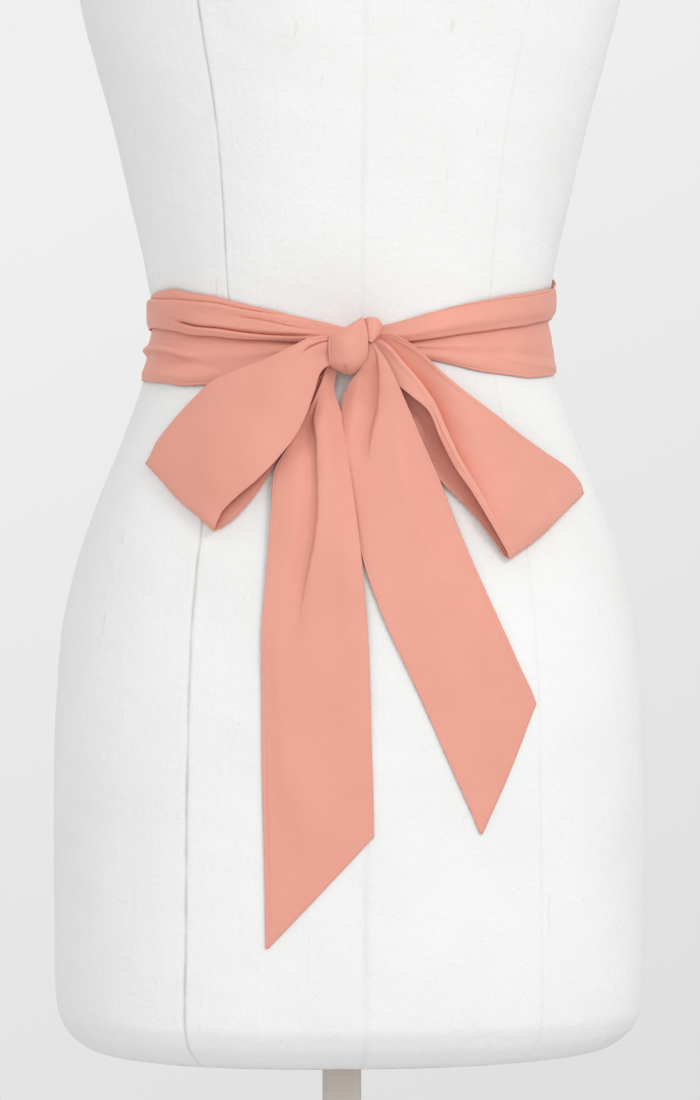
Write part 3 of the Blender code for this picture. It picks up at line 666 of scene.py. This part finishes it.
def end_ply(along, total):
    """Share of the thickness along it, rounded off at both ends."""
    inward = np.minimum(along, total - along)
    return np.sqrt(np.clip(1.0 - (1.0 - np.minimum(inward / 0.6, 1.0)) ** 2, 0.03, 1.0))


def crease_lift(creases, row_place, place, width):
    """Lift of all the creases over a strip."""
    total = np.zeros((len(row_place), place.shape[1]))
    for crease in creases:
        share = (row_place - crease.rows[0]) / (crease.rows[-1] - crease.rows[0])
        ramp = np.clip(np.minimum(share, 1.0 - share) * CREASE_FADE, 0.0, 1.0)
        centre = read_line(crease.places, crease.rows, row_place)
        away = (place - centre) * width[:, None] / crease.half_width
        away = np.where(away > 0.0, away / crease.far_share, away)
        shape = crease.depth * np.exp(-away ** 2)
        far = 1.0 + np.tanh(away * 1.6)
        shape = shape + crease.step * 0.5 * far * np.exp(-(away / STEP_REACH) ** 2)
        total += eased(ramp)[:, None] * shape
    return total


def fitted_places(places, foot):
    """Places across a strip, moved so that the closest columns follow the foot of its fold."""
    before = places * (foot / VALLEY_ANCHOR)[:, None]
    after = 1.0 - (1.0 - places) * ((1.0 - foot) / (1.0 - VALLEY_ANCHOR))[:, None]
    return np.where(places <= VALLEY_ANCHOR, before, after)


def valley_lift(row, inside, place, width):
    """Lift of a loop's face that falls from its rim to the foot of a folded strip."""
    depth = np.where(inside, row.depth, 0.0)[:, None]
    strip = np.where(inside, row.strip, 0.0)[:, None]
    foot = row.place[:, None]
    power = row.power[:, None]
    share = np.clip(place / foot, 0.0, 1.0)
    low = 0.04 ** power
    fall = ((share + 0.04) ** power - low) / (1.04 ** power - low)
    past = (place - foot) * width[:, None]
    rise = np.clip((past + 0.02) / 0.34, 0.0, 1.0)
    round_top = 0.5 * np.exp(-((past - 2.2) / 1.8) ** 2) * np.clip(strip / 3.0, 0.0, 1.0)
    return -depth * fall + strip * eased(rise) + round_top


def even_places(rows, to_points, step):
    """Places along a table's rows that lie a step apart on the cloth."""
    fine = np.linspace(0.0, len(rows) - 1.0, (len(rows) - 1) * 40 + 1)
    row = read_table(rows, np.arange(len(rows)), fine)
    travel = np.linalg.norm(np.diff(to_points(row), axis=0), axis=1)
    run = np.concatenate([[0.0], np.cumsum(travel)])
    count = max(int(round(run[-1] / step)), 6)
    wanted = np.linspace(0.0, run[-1], count + 1)
    return np.interp(wanted, run, fine), wanted


def strip_middle(row):
    """Middle line of a strip."""
    x = (row.edge_x + row.far_x) / 2.0
    z = (row.edge_z + row.far_z) / 2.0
    lift = (row.edge_lift + row.far_lift) / 2.0 + row.bulge
    return before_form(x, z, lift)


def strip_piece(name, rows, creases, seed, wave, step, tip=None, valley=None, nudges=()):
    """A stretch of the sash that lies in front of the form."""
    row_place, along = even_places(rows, strip_middle, CLOTH_STEP)
    across = edge_places(SASH_WIDTH, step)[None, :]
    row = read_table(rows, np.arange(len(rows)), row_place)
    if valley is not None:
        beside = np.array([-1.6, -1.0, -0.6, -0.36, -0.2, -0.08, 0.05, 0.14, 0.24, 0.34, 0.5, 0.8])
        across = np.sort(np.append(across, VALLEY_ANCHOR + beside / SASH_WIDTH))[None, :]
        foot = read_table(valley, [line.row for line in valley], row_place)
        across = fitted_places(across, foot.place)
    column = as_columns(row)
    x = column.edge_x + (column.far_x - column.edge_x) * across
    z = column.edge_z + (column.far_z - column.edge_z) * across
    for nudge in nudges:
        away = ((row_place[:, None] - nudge.row) / nudge.row_reach) ** 2
        share = np.exp(-away - ((across - nudge.place) / nudge.place_reach) ** 2)
        x = x + nudge.move_x * share
        z = z + nudge.move_z * share
    if tip is not None:
        z = np.maximum(z, tip)
    width = np.hypot(row.far_x - row.edge_x, row.far_z - row.edge_z)
    lift = column.edge_lift + (column.far_lift - column.edge_lift) * across
    full = np.sin(math.pi * across)
    lift = lift + column.bulge * full
    lift = lift + column.gather * full * np.sin(math.tau * GATHER_WAVES * across)
    if valley is not None:
        inside = (row_place > valley[0].row) & (row_place < valley[-1].row)
        lift = lift + valley_lift(foot, inside, across, width)
    lift = lift + crease_lift(creases, row_place, across, width)
    spread = np.minimum(width / SASH_WIDTH, 1.0)[:, None]
    lift = lift + wave * spread * ripple(across * SASH_WIDTH, along[:, None], seed, WAVE_LENGTH) * full
    middle = world(before_form(x, z, lift))
    return cloth_shell(name, middle, across, along, SASH_WIDTH)


def tuck_piece():
    """The end of the cloth that is pushed through the knot, in small pleats like a fan."""
    turn = np.linspace(0.0, len(TUCK_RAYS) - 1.0, TUCK_STATIONS)
    place = edge_places(TUCK_WIDTH, 0.35)
    ray = read_table(TUCK_RAYS, np.arange(len(TUCK_RAYS)), turn)
    column = as_columns(ray)
    across = place[None, :]
    fan = (turn / turn[-1])[:, None]
    pleat = np.abs(np.sin(math.pi * TUCK_PLEATS * (fan + 0.05 * np.sin(math.tau * fan)))) ** 0.6
    x = column.out_x + (column.in_x - column.out_x) * across
    z = column.out_z + (column.in_z - column.out_z) * across
    outward = (1.0 - across) ** 0.7
    x = x + (pleat - 0.6) * 0.5 * outward * np.sin(fan * 1.9)
    z = z + (pleat - 0.6) * 0.5 * outward * np.cos(fan * 1.9)
    lift = column.out_lift + (column.in_lift - column.out_lift) * across
    lift = lift + 1.2 * np.sin(math.pi * np.clip(across * 0.9 + 0.02, 0.0, 1.0))
    lift = lift + (pleat - 0.5) * TUCK_PLEAT_DEPTH * (0.1 + 0.9 * outward)
    points = world(before_form(x, z, lift))
    along = np.linspace(0.0, line_length(points[:, 3]), TUCK_STATIONS)
    return cloth_shell("knot_tuck_cloth", points, place, along, TUCK_WIDTH, TUCK_WIDTH)


def wrap_middle(row):
    """Middle line of the knot's wrap."""
    return before_form(row.mid_x, row.mid_z, row.mid_lift)


def wrap_piece():
    """The cloth round the knot, gathered across."""
    row_place, along = even_places(WRAP_ROWS, wrap_middle, WRAP_STEP)
    place = edge_places(WRAP_WIDTH, 0.6)
    row = read_table(WRAP_ROWS, np.arange(len(WRAP_ROWS)), row_place)
    column = as_columns(row)
    across = place[None, :]
    left = (1.0 - across) * (1.0 - 2.0 * across)
    middle = 4.0 * across * (1.0 - across)
    right = across * (2.0 * across - 1.0)
    x = left * column.left_x + middle * column.mid_x + right * column.right_x
    z = left * column.left_z + middle * column.mid_z + right * column.right_z
    lift = left * column.left_lift + middle * column.mid_lift + right * column.right_lift
    width = np.full(len(row_place), SHOWN_WIDTHS["knot_wrap"])
    lift = lift + crease_lift(WRAP_CREASES, row_place, across, width)
    lift = lift + 0.12 * ripple(across * 22.0, along[:, None], 5, 12.0)
    points = world(before_form(x, z, lift))
    return cloth_shell("knot_wrap_cloth", points, place, along, WRAP_WIDTH)


def band_profile(row):
    """Heights and lifts of the band from top to bottom, through its lapped fold."""
    upper = row.top - row.lap_edge
    lower = row.lap_edge - row.bottom
    inner = 1.3
    middle = inner + (row.ridge - inner) / 2.0
    none = np.zeros_like(row.top)
    points = [
        (row.top, none + inner + 0.2),
        (row.top - 0.14 * upper, none + inner + 1.6),
        (row.top - 0.4 * upper, none + inner + 2.4),
        (row.lap_edge + 0.32 * upper, row.ridge + 0.4),
        (row.lap_edge + 0.14 * upper, row.ridge),
        (row.lap_edge - 0.2, (row.ridge + middle) / 2.0),
        (row.lap_edge + 0.8, middle),
        (row.lap_edge + 0.55 * row.lap_depth, middle),
        (row.lap_edge + row.lap_depth, (middle + inner) / 2.0),
        (row.lap_edge + 0.45 * row.lap_depth, none + inner),
        (row.lap_edge - 0.1 * lower, none + inner + 0.1),
        (row.lap_edge - 0.35 * lower, none + inner + 1.5),
        (row.lap_edge - 0.55 * lower, none + inner + 0.9),
        (row.lap_edge - 0.8 * lower, none + inner + 1.1),
        (row.bottom, none + inner),
    ]
    return np.array(points)


def band_folds(angle, height, open_face):
    """Lift of the band's folds."""
    total = np.zeros_like(height)
    for fold in BAND_FOLDS:
        share = (angle - fold.angles[0]) / (fold.angles[-1] - fold.angles[0])
        ramp = np.clip(np.minimum(share * 5.0, (1.0 - share) * 4.0), 0.0, 1.0)
        centre = read_line(fold.heights, fold.angles, angle)
        away = (height - centre) / fold.half_width
        shape = fold.depth * np.exp(-away ** 2)
        shape = shape + fold.step * 0.5 * (1.0 - np.tanh(away)) * np.exp(-(away / STEP_REACH) ** 2)
        total += eased(ramp)[:, None] * shape
    return total * open_face


def band_piece():
    """The stretch round the waist, with its lap and its soft folds."""
    angles = np.array([row.angle for row in BAND_ROWS], float)
    angle = np.linspace(angles[0], angles[-1], BAND_STATIONS)
    row = read_table(BAND_ROWS, angles, angle)
    profile = np.moveaxis(band_profile(row), -1, 0)
    knots = np.arange(profile.shape[1], dtype=float)
    edge = np.array([0.0, 0.02, 0.05, 0.1, 0.16, 0.24, 0.34])
    place = np.concatenate([
        edge,
        np.linspace(0.42, 4.8, 44)[:-1],
        np.linspace(4.8, 9.2, 13)[:-1],
        np.linspace(9.2, knots[-1] - 0.42, 44),
        knots[-1] - edge[::-1]])
    smooth = curve_through(profile, knots, place)
    height = smooth[..., 0]
    lift = smooth[..., 1]
    shown = np.clip(np.maximum(4.6 - place, place - 10.0), 0.0, 1.0)[None, :]
    lift = lift + band_folds(angle, height, shown)
    flat = place / knots[-1]
    uneven = ripple(height, angle[:, None] * 2.1, 11, 30.0)
    lift = lift + 0.25 * shown * uneven * np.sin(math.pi * flat)[None, :]
    height = height + 0.35 * ripple(height * 0.0, angle[:, None] * 2.1, 23, 46.0)
    points = world(outline_points(np.radians(angle)[:, None], height, lift))
    along = np.linspace(0.0, line_length(points[:, 40]), len(angle))
    return cloth_shell("waist_band_cloth", points, flat, along, SASH_WIDTH)


def cover_columns(heights):
    """Angles of the cover's columns, and their distance, depth and stain beside its seams."""
    seams = read_table(SEAM_ROWS, [row.height for row in SEAM_ROWS], heights)
    none = np.zeros_like(heights)
    lines = [none, seams.princess, seams.side, seams.back_princess, none + 180.0,
             360.0 - seams.back_princess, 360.0 - seams.side, 360.0 - seams.princess,
             none + 360.0]
    beside = np.array([0.0, 0.35, 0.8, 1.6, 3.0, 5.5])
    panels = []
    for i, (first, second) in enumerate(zip(lines[:-1], lines[1:])):
        reach = (second - first) * MM_PER_DEGREE
        near = beside[None, :] / reach[:, None]
        middle = np.linspace(0.0, 1.0, 22)[1:-1]
        inner = near[:, -1:] + (1.0 - 2.0 * near[:, -1:]) * middle[None, :]
        places = np.concatenate([near, inner, 1.0 - near[:, :0:-1]], 1)
        nearer = places < 0.5
        panels.append((
            first[:, None] + (second - first)[:, None] * places,
            np.minimum(places, 1.0 - places) * reach[:, None],
            np.where(nearer, SEAM_DEPTHS[i], SEAM_DEPTHS[i + 1]),
            np.where(nearer, SEAM_STAINS[i], SEAM_STAINS[i + 1])))
    return [np.concatenate(part, 1) for part in zip(*panels)]


def close_end(flat, faces, ring, corners, outward):
    """Close one end of the form with rings that shrink to its middle."""
    inner = corners.mean(axis=0)
    previous = ring
    for share in CAP_SHARES:
        current = np.arange(len(ring)) + len(flat)
        flat = np.concatenate([flat, inner + (corners - inner) * share])
        cap = np.stack([previous, np.roll(previous, -1), np.roll(current, -1), current], -1)
        faces.append(cap if outward else cap[:, ::-1])
        previous = current
    pairs = previous.reshape(-1, 2)
    third = np.roll(previous, -2).reshape(-1, 2)[:, 0]
    fan = np.stack([pairs[:, 0], pairs[:, 1], third, np.full(len(pairs), len(flat))], -1)
    faces.append(fan if outward else fan[:, ::-1])
    return np.concatenate([flat, inner[None, :]])


def form_piece():
    """The form's sewn cover, with its seams as shallow grooves."""
    heights = np.concatenate([
        np.linspace(-HEM_BELOW_WAIST, -400.0, 28),
        np.linspace(-397.0, 330.0, 240),
        np.linspace(333.0, FORM_SECTIONS[-1].height, 60)])
    angle, inward, depth, stain = cover_columns(heights)
    stain = stain * np.exp(-(inward / 0.6) ** 2)
    groove = -depth * np.exp(-(inward / SEAM_HALF_WIDTH) ** 2)
    groove = groove + SEAM_SHOULDER * np.exp(-((inward - 2.2) / 1.6) ** 2) * depth / 0.4
    height = np.repeat(heights[:, None], angle.shape[1], 1)
    lumps = 0.25 * ripple(angle * 2.2, height, 31, 60.0) + 0.12 * ripple(angle * 2.2, height, 37, 17.0)
    points = world(outline_points(np.radians(angle), height, groove + lumps))
    rows, columns = points.shape[:2]
    index = np.arange(rows * columns).reshape(rows, columns)
    after = np.roll(index, -1, axis=1)
    faces = [np.stack([index[:-1], after[:-1], after[1:], index[1:]], -1).reshape(-1, 4)]
    flat = close_end(points.reshape(-1, 3), faces, index[0], points[0], False)
    flat = close_end(flat, faces, index[-1], points[-1], True)
    cover = make_mesh("form_cover", flat, np.concatenate(faces))
    values = np.zeros(len(flat), np.float32)
    values[:stain.size] = stain.ravel()
    layer = cover.data.attributes.new("seam_stain", "FLOAT", "POINT")
    layer.data.foreach_set("value", values)
    return cover


class Nodes:
    """A material's nodes, built one after another."""

    def __init__(self, name):
        self.material = bpy.data.materials.new(name)
        self.material.use_nodes = True
        self.tree = self.material.node_tree
        self.shader = self.tree.nodes["Principled BSDF"]

    def add(self, kind, **settings):
        """Add a node and set it."""
        node = self.tree.nodes.new(kind)
        for name, value in settings.items():
            setattr(node, name, value)
        return node

    def join(self, output, socket):
        """Link two sockets."""
        self.tree.links.new(output, socket)

    def drive(self, name, output):
        """Link an output to the shader."""
        self.join(output, self.shader.inputs[name])

    def fix(self, name, value):
        """Set a constant on the shader's own socket."""
        self.shader.inputs[name].default_value = value

    def coordinates(self, output, scale=(1.0, 1.0, 1.0)):
        """Coordinates from the object or the flat cloth, scaled."""
        source = self.add("ShaderNodeTexCoord")
        mapping = self.add("ShaderNodeMapping")
        mapping.inputs["Scale"].default_value = scale
        self.join(source.outputs[output], mapping.inputs["Vector"])
        return mapping.outputs["Vector"]

    def noise(self, vector, scale, detail=2.0, roughness=0.5):
        """Noise at that scale."""
        node = self.add("ShaderNodeTexNoise")
        node.inputs["Scale"].default_value = scale
        node.inputs["Detail"].default_value = detail
        node.inputs["Roughness"].default_value = roughness
        self.join(vector, node.inputs["Vector"])
        return node.outputs["Fac"]

    def ramp(self, value, stops):
        """Colour ramp with the given stops."""
        node = self.add("ShaderNodeValToRGB")
        elements = node.color_ramp.elements
        while len(elements) < len(stops):
            elements.new(0.5)
        for element, (position, colour) in zip(elements, stops):
            element.position = position
            element.color = (*colour, 1.0)
        self.join(value, node.inputs["Fac"])
        return node.outputs["Color"]

    def mask(self, value, low, high, least=BLACK):
        """Mask that rises to white between two values."""
        return self.ramp(value, [(low, least), (high, WHITE)])

    def math(self, operation, first, second):
        """One operation on two values."""
        node = self.add("ShaderNodeMath", operation=operation)
        for socket, value in zip(node.inputs, (first, second)):
            if isinstance(value, (int, float)):
                socket.default_value = value
            else:
                self.join(value, socket)
        return node.outputs["Value"]

    def mix(self, share, first, second):
        """Mix of two colours."""
        node = self.add("ShaderNodeMix", data_type="RGBA")
        self.join(share, node.inputs["Factor"])
        for socket, value in zip((node.inputs[6], node.inputs[7]), (first, second)):
            if isinstance(value, tuple):
                socket.default_value = (*value, 1.0)
            else:
                self.join(value, socket)
        return node.outputs[2]

    def bump(self, height, distance, strength, below=None):
        """Bump from a height."""
        node = self.add("ShaderNodeBump")
        node.inputs["Strength"].default_value = strength
        node.inputs["Distance"].default_value = distance
        self.join(height, node.inputs["Height"])
        if below is not None:
            self.join(below, node.inputs["Normal"])
        return node.outputs["Normal"]


def satin_material():
    """Salmon satin with a fine crepe face."""
    nodes = Nodes("salmon_satin")
    cloth = nodes.coordinates("UV")
    place = nodes.coordinates("Object")
    grain = nodes.noise(cloth, 1500.0, 3.0, 0.7)
    thread = nodes.coordinates("UV", (2200.0, 520.0, 1.0))
    slub = nodes.noise(thread, 1.0, 2.0, 0.5)
    cloud = nodes.noise(place, 26.0, 3.0, 0.5)
    tone = nodes.ramp(cloud, [(0.3, SATIN_DEEP), (0.7, SATIN_LIGHT)])
    fleck = nodes.math("MULTIPLY", grain, 0.45)
    colour = nodes.mix(fleck, tone, SATIN_FLECK)
    nodes.drive("Base Color", colour)
    fine = nodes.math("ADD", nodes.math("MULTIPLY", grain, 0.6), nodes.math("MULTIPLY", slub, 0.5))
    waves = nodes.noise(place, 190.0, 3.0, 0.55)
    soft = nodes.bump(waves, 0.0006, 0.35)
    nodes.drive("Normal", nodes.bump(fine, 0.0004, 0.7, soft))
    nodes.drive("Roughness", nodes.math("ADD", nodes.math("MULTIPLY", slub, 0.12), 0.42))
    nodes.fix("Specular IOR Level", 0.5)
    nodes.fix("Sheen Weight", 0.14)
    nodes.fix("Sheen Roughness", 0.45)
    nodes.fix("Sheen Tint", (1.0, 0.86, 0.80, 1.0))
    return nodes.material


def linen_material():
    """Off-white canvas under thin paint, with slubs, specks and a bare edge at the hem."""
    nodes = Nodes("painted_canvas")
    place = nodes.coordinates("Object")
    upright = nodes.coordinates("Object", (900.0, 900.0, 150.0))
    level = nodes.coordinates("Object", (170.0, 170.0, 1000.0))
    warp = nodes.noise(upright, 1.0, 2.0, 0.6)
    weft = nodes.noise(level, 1.0, 2.0, 0.6)
    lumps = nodes.noise(place, 240.0, 4.0, 0.6)
    patches = nodes.noise(place, 14.0, 4.0, 0.55)
    tone = nodes.ramp(patches, [(0.3, LINEN_DEEP), (0.7, LINEN_LIGHT)])
    long_slubs = nodes.coordinates("Object", (260.0, 260.0, 11.0))
    slub = nodes.noise(long_slubs, 1.0, 1.0, 0.4)
    slub_mask = nodes.mask(slub, 0.74, 0.8)
    slub_share = nodes.math("MULTIPLY", slub_mask, 0.3)
    streaked = nodes.mix(slub_share, tone, LINEN_SLUB)
    speck = nodes.noise(place, 520.0, 1.0, 0.5)
    speck_mask = nodes.mask(speck, 0.77, 0.82)
    speck_share = nodes.math("MULTIPLY", speck_mask, 0.35)
    specked = nodes.mix(speck_share, streaked, LINEN_SPECK)
    source = nodes.add("ShaderNodeTexCoord")
    split = nodes.add("ShaderNodeSeparateXYZ")
    nodes.join(source.outputs["Object"], split.inputs["Vector"])
    wander = nodes.math("MULTIPLY", nodes.noise(place, 60.0, 2.0, 0.5), 0.004)
    above = nodes.math("SUBTRACT", nodes.math("SUBTRACT", split.outputs["Z"], HEM_HEIGHT), wander)
    hem = nodes.math("LESS_THAN", above, 0.0006)
    hem_share = nodes.math("MULTIPLY", hem, 0.75)
    hemmed = nodes.mix(hem_share, specked, BARE_HEM)
    stain = nodes.add("ShaderNodeAttribute", attribute_name="seam_stain")
    faint = (0.35, 0.35, 0.35)
    broken = nodes.mask(nodes.noise(place, 38.0, 3.0), 0.35, 0.62, faint)
    stain_share = nodes.math("MULTIPLY", stain.outputs["Fac"], broken)
    colour = nodes.mix(stain_share, hemmed, SEAM_DIRT)
    nodes.drive("Base Color", colour)
    weave = nodes.math("ADD", nodes.math("MULTIPLY", warp, 0.6), nodes.math("MULTIPLY", weft, 0.5))
    base = nodes.bump(lumps, 0.0010, 0.45)
    raised = nodes.bump(slub, 0.0008, 0.25, base)
    nodes.drive("Normal", nodes.bump(weave, 0.00035, 0.55, raised))
    nodes.fix("Roughness", 0.86)
    nodes.fix("Specular IOR Level", 0.25)
    nodes.fix("Sheen Weight", 0.08)
    return nodes.material


def paint_material():
    """Warm light grey paint on metal, with faint brush marks and worn edges."""
    nodes = Nodes("stand_paint")
    place = nodes.coordinates("Object")
    long_marks = nodes.coordinates("Object", (420.0, 420.0, 24.0))
    marks = nodes.noise(long_marks, 1.0, 3.0, 0.55)
    patches = nodes.noise(place, 34.0, 4.0, 0.6)
    tone = nodes.ramp(patches, [(0.3, PAINT_DEEP), (0.7, PAINT_LIGHT)])
    scuff = nodes.mask(nodes.noise(place, 150.0, 4.0, 0.7), 0.66, 0.74)
    colour = nodes.mix(nodes.math("MULTIPLY", scuff, 0.25), tone, PAINT_SCUFF)
    nodes.drive("Base Color", colour)
    nodes.drive("Roughness", nodes.math("ADD", nodes.math("MULTIPLY", marks, 0.2), 0.38))
    nodes.drive("Normal", nodes.bump(marks, 0.0003, 0.3))
    return nodes.material


def dress(piece, material, node):
    """Give a piece its material, and put it in place of its solid."""
    piece.data.materials.append(material)
    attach(piece, "root")
    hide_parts(node)


def dress_cad(material, node):
    """Give a solid that stays a better material."""
    solid = frame["nodes"][node]
    solid.data.materials.clear()
    solid.data.materials.append(material)


def add_sash(satin):
    """All the stretches of the sash."""
    pieces = {}
    pieces["waist_band"] = band_piece()
    pieces["knot_wrap"] = wrap_piece()
    pieces["knot_tuck"] = tuck_piece()
    pieces["left_loop"] = strip_piece(
        "left_loop_cloth", LEFT_LOOP_ROWS, LEFT_LOOP_CREASES, seed=7, wave=0.5,
        step=0.8, nudges=LEFT_LOOP_NUDGES)
    pieces["right_loop"] = strip_piece(
        "right_loop_cloth", RIGHT_LOOP_ROWS, RIGHT_LOOP_CREASES, seed=9, wave=0.45,
        step=0.6, valley=RIGHT_LOOP_VALLEY, nudges=RIGHT_LOOP_NUDGES)
    pieces["left_tail"] = strip_piece(
        "left_tail_cloth", LEFT_TAIL_ROWS, LEFT_TAIL_CREASES, seed=13, wave=0.2,
        step=0.45, tip=LEFT_TAIL_ROWS[-1].edge_z + TIP_CUT)
    pieces["right_tail"] = strip_piece(
        "right_tail_cloth", RIGHT_TAIL_ROWS, RIGHT_TAIL_CREASES, seed=17, wave=0.2,
        step=0.45, tip=RIGHT_TAIL_ROWS[-1].edge_z + TIP_CUT, nudges=RIGHT_TAIL_NUDGES)
    for node, made in pieces.items():
        dress(made[0], satin, node)
    return pieces


def add_light(light, target):
    """Soft square light aimed at a point."""
    data = bpy.data.lights.new(light.name, "AREA")
    data.shape = "SQUARE"
    data.size = light.size
    data.energy = light.power
    data.color = light.colour
    lamp = bpy.data.objects.new(light.name, data)
    lamp.location = light.place
    aim = np.array(target) - np.array(light.place)
    flat = math.hypot(aim[0], aim[1])
    lamp.rotation_euler = (math.pi / 2.0 + math.atan2(aim[2], flat), 0.0, math.atan2(-aim[0], aim[1]))
    bpy.context.scene.collection.objects.link(lamp)


def room_share(tree, way, reach, levels, kind="LINEAR"):
    """Share of the room's light that changes along a direction, between two levels."""
    source = tree.nodes.new("ShaderNodeTexCoord")
    along = tree.nodes.new("ShaderNodeVectorMath")
    along.operation = "DOT_PRODUCT"
    along.inputs[1].default_value = way
    tree.links.new(source.outputs["Generated"], along.inputs[0])
    share = tree.nodes.new("ShaderNodeMapRange")
    share.interpolation_type = kind
    for name, value in zip(("From Min", "From Max", "To Min", "To Max"), reach + levels):
        share.inputs[name].default_value = value
    tree.links.new(along.outputs["Value"], share.inputs["Value"])
    return share.outputs["Result"]


def add_room():
    """Pale room that lights the form from all round."""
    room = bpy.data.worlds.new("pale_room")
    bpy.context.scene.world = room
    room.use_nodes = True
    tree = room.node_tree
    background = tree.nodes["Background"]
    background.inputs["Color"].default_value = (*ROOM_COLOUR, 1.0)
    depth = room_share(tree, ROOM_DARK_SIDE, (-0.75, 0.95), (ROOM_LIGHT, ROOM_DARK), "SMOOTHSTEP")
    fall = room_share(tree, BACKDROP_FALL, (-0.24, 0.1), (BACKDROP_DARK, 1.0))
    strength = tree.nodes.new("ShaderNodeMath")
    strength.operation = "MULTIPLY"
    tree.links.new(depth, strength.inputs[0])
    tree.links.new(fall, strength.inputs[1])
    tree.links.new(strength.outputs["Value"], background.inputs["Strength"])


def add_floor():
    """Plain pale floor."""
    mesh = bpy.data.meshes.new("floor")
    turns = [math.tau * i / FLOOR_CORNERS for i in range(FLOOR_CORNERS)]
    ring = [(math.cos(turn) * FLOOR_RADIUS, math.sin(turn) * FLOOR_RADIUS, 0.0) for turn in turns]
    mesh.from_pydata(ring, [], [list(range(FLOOR_CORNERS))])
    floor = bpy.data.objects.new("floor", mesh)
    floor.location.z = -FLOOR_DROP
    bpy.context.scene.collection.objects.link(floor)
    pale = Nodes("pale_floor")
    pale.fix("Base Color", (*FLOOR_COLOUR, 1.0))
    pale.fix("Roughness", 0.9)
    mesh.materials.append(pale.material)


def add_studio():
    """The view, the pale room, the floor and the soft lights."""
    view = bpy.context.scene.view_settings
    view.view_transform = "Standard"
    view.gamma = VIEW_GAMMA
    add_room()
    add_floor()
    for light in LIGHTS:
        add_light(light, (0.0, 0.0, WAIST * MM - AIM_BELOW_WAIST))


def add_camera():
    """The photograph's view: a long lens, level, a little to the left of the form's front."""
    data = bpy.data.cameras.new("camera")
    data.lens = LENS
    data.sensor_width = SENSOR_WIDTH
    camera = bpy.data.objects.new("camera", data)
    camera.location = (CAMERA_DISTANCE * math.sin(CAMERA_TURN),
                       -CAMERA_DISTANCE * math.cos(CAMERA_TURN),
                       (WAIST - CAMERA_DROP) * MM)
    camera.rotation_euler = (math.pi / 2.0, 0.0, CAMERA_TURN)
    bpy.context.scene.collection.objects.link(camera)
    bpy.context.scene.camera = camera


def main():
    """Dress the frame."""
    add_camera()
    add_studio()
    satin = satin_material()
    paint = paint_material()
    dress(form_piece(), linen_material(), "dress_form")
    dress_cad(paint, "stand_post")
    dress_cad(paint, "stand_base")
    for node, (piece, length) in add_sash(satin).items():
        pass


main()
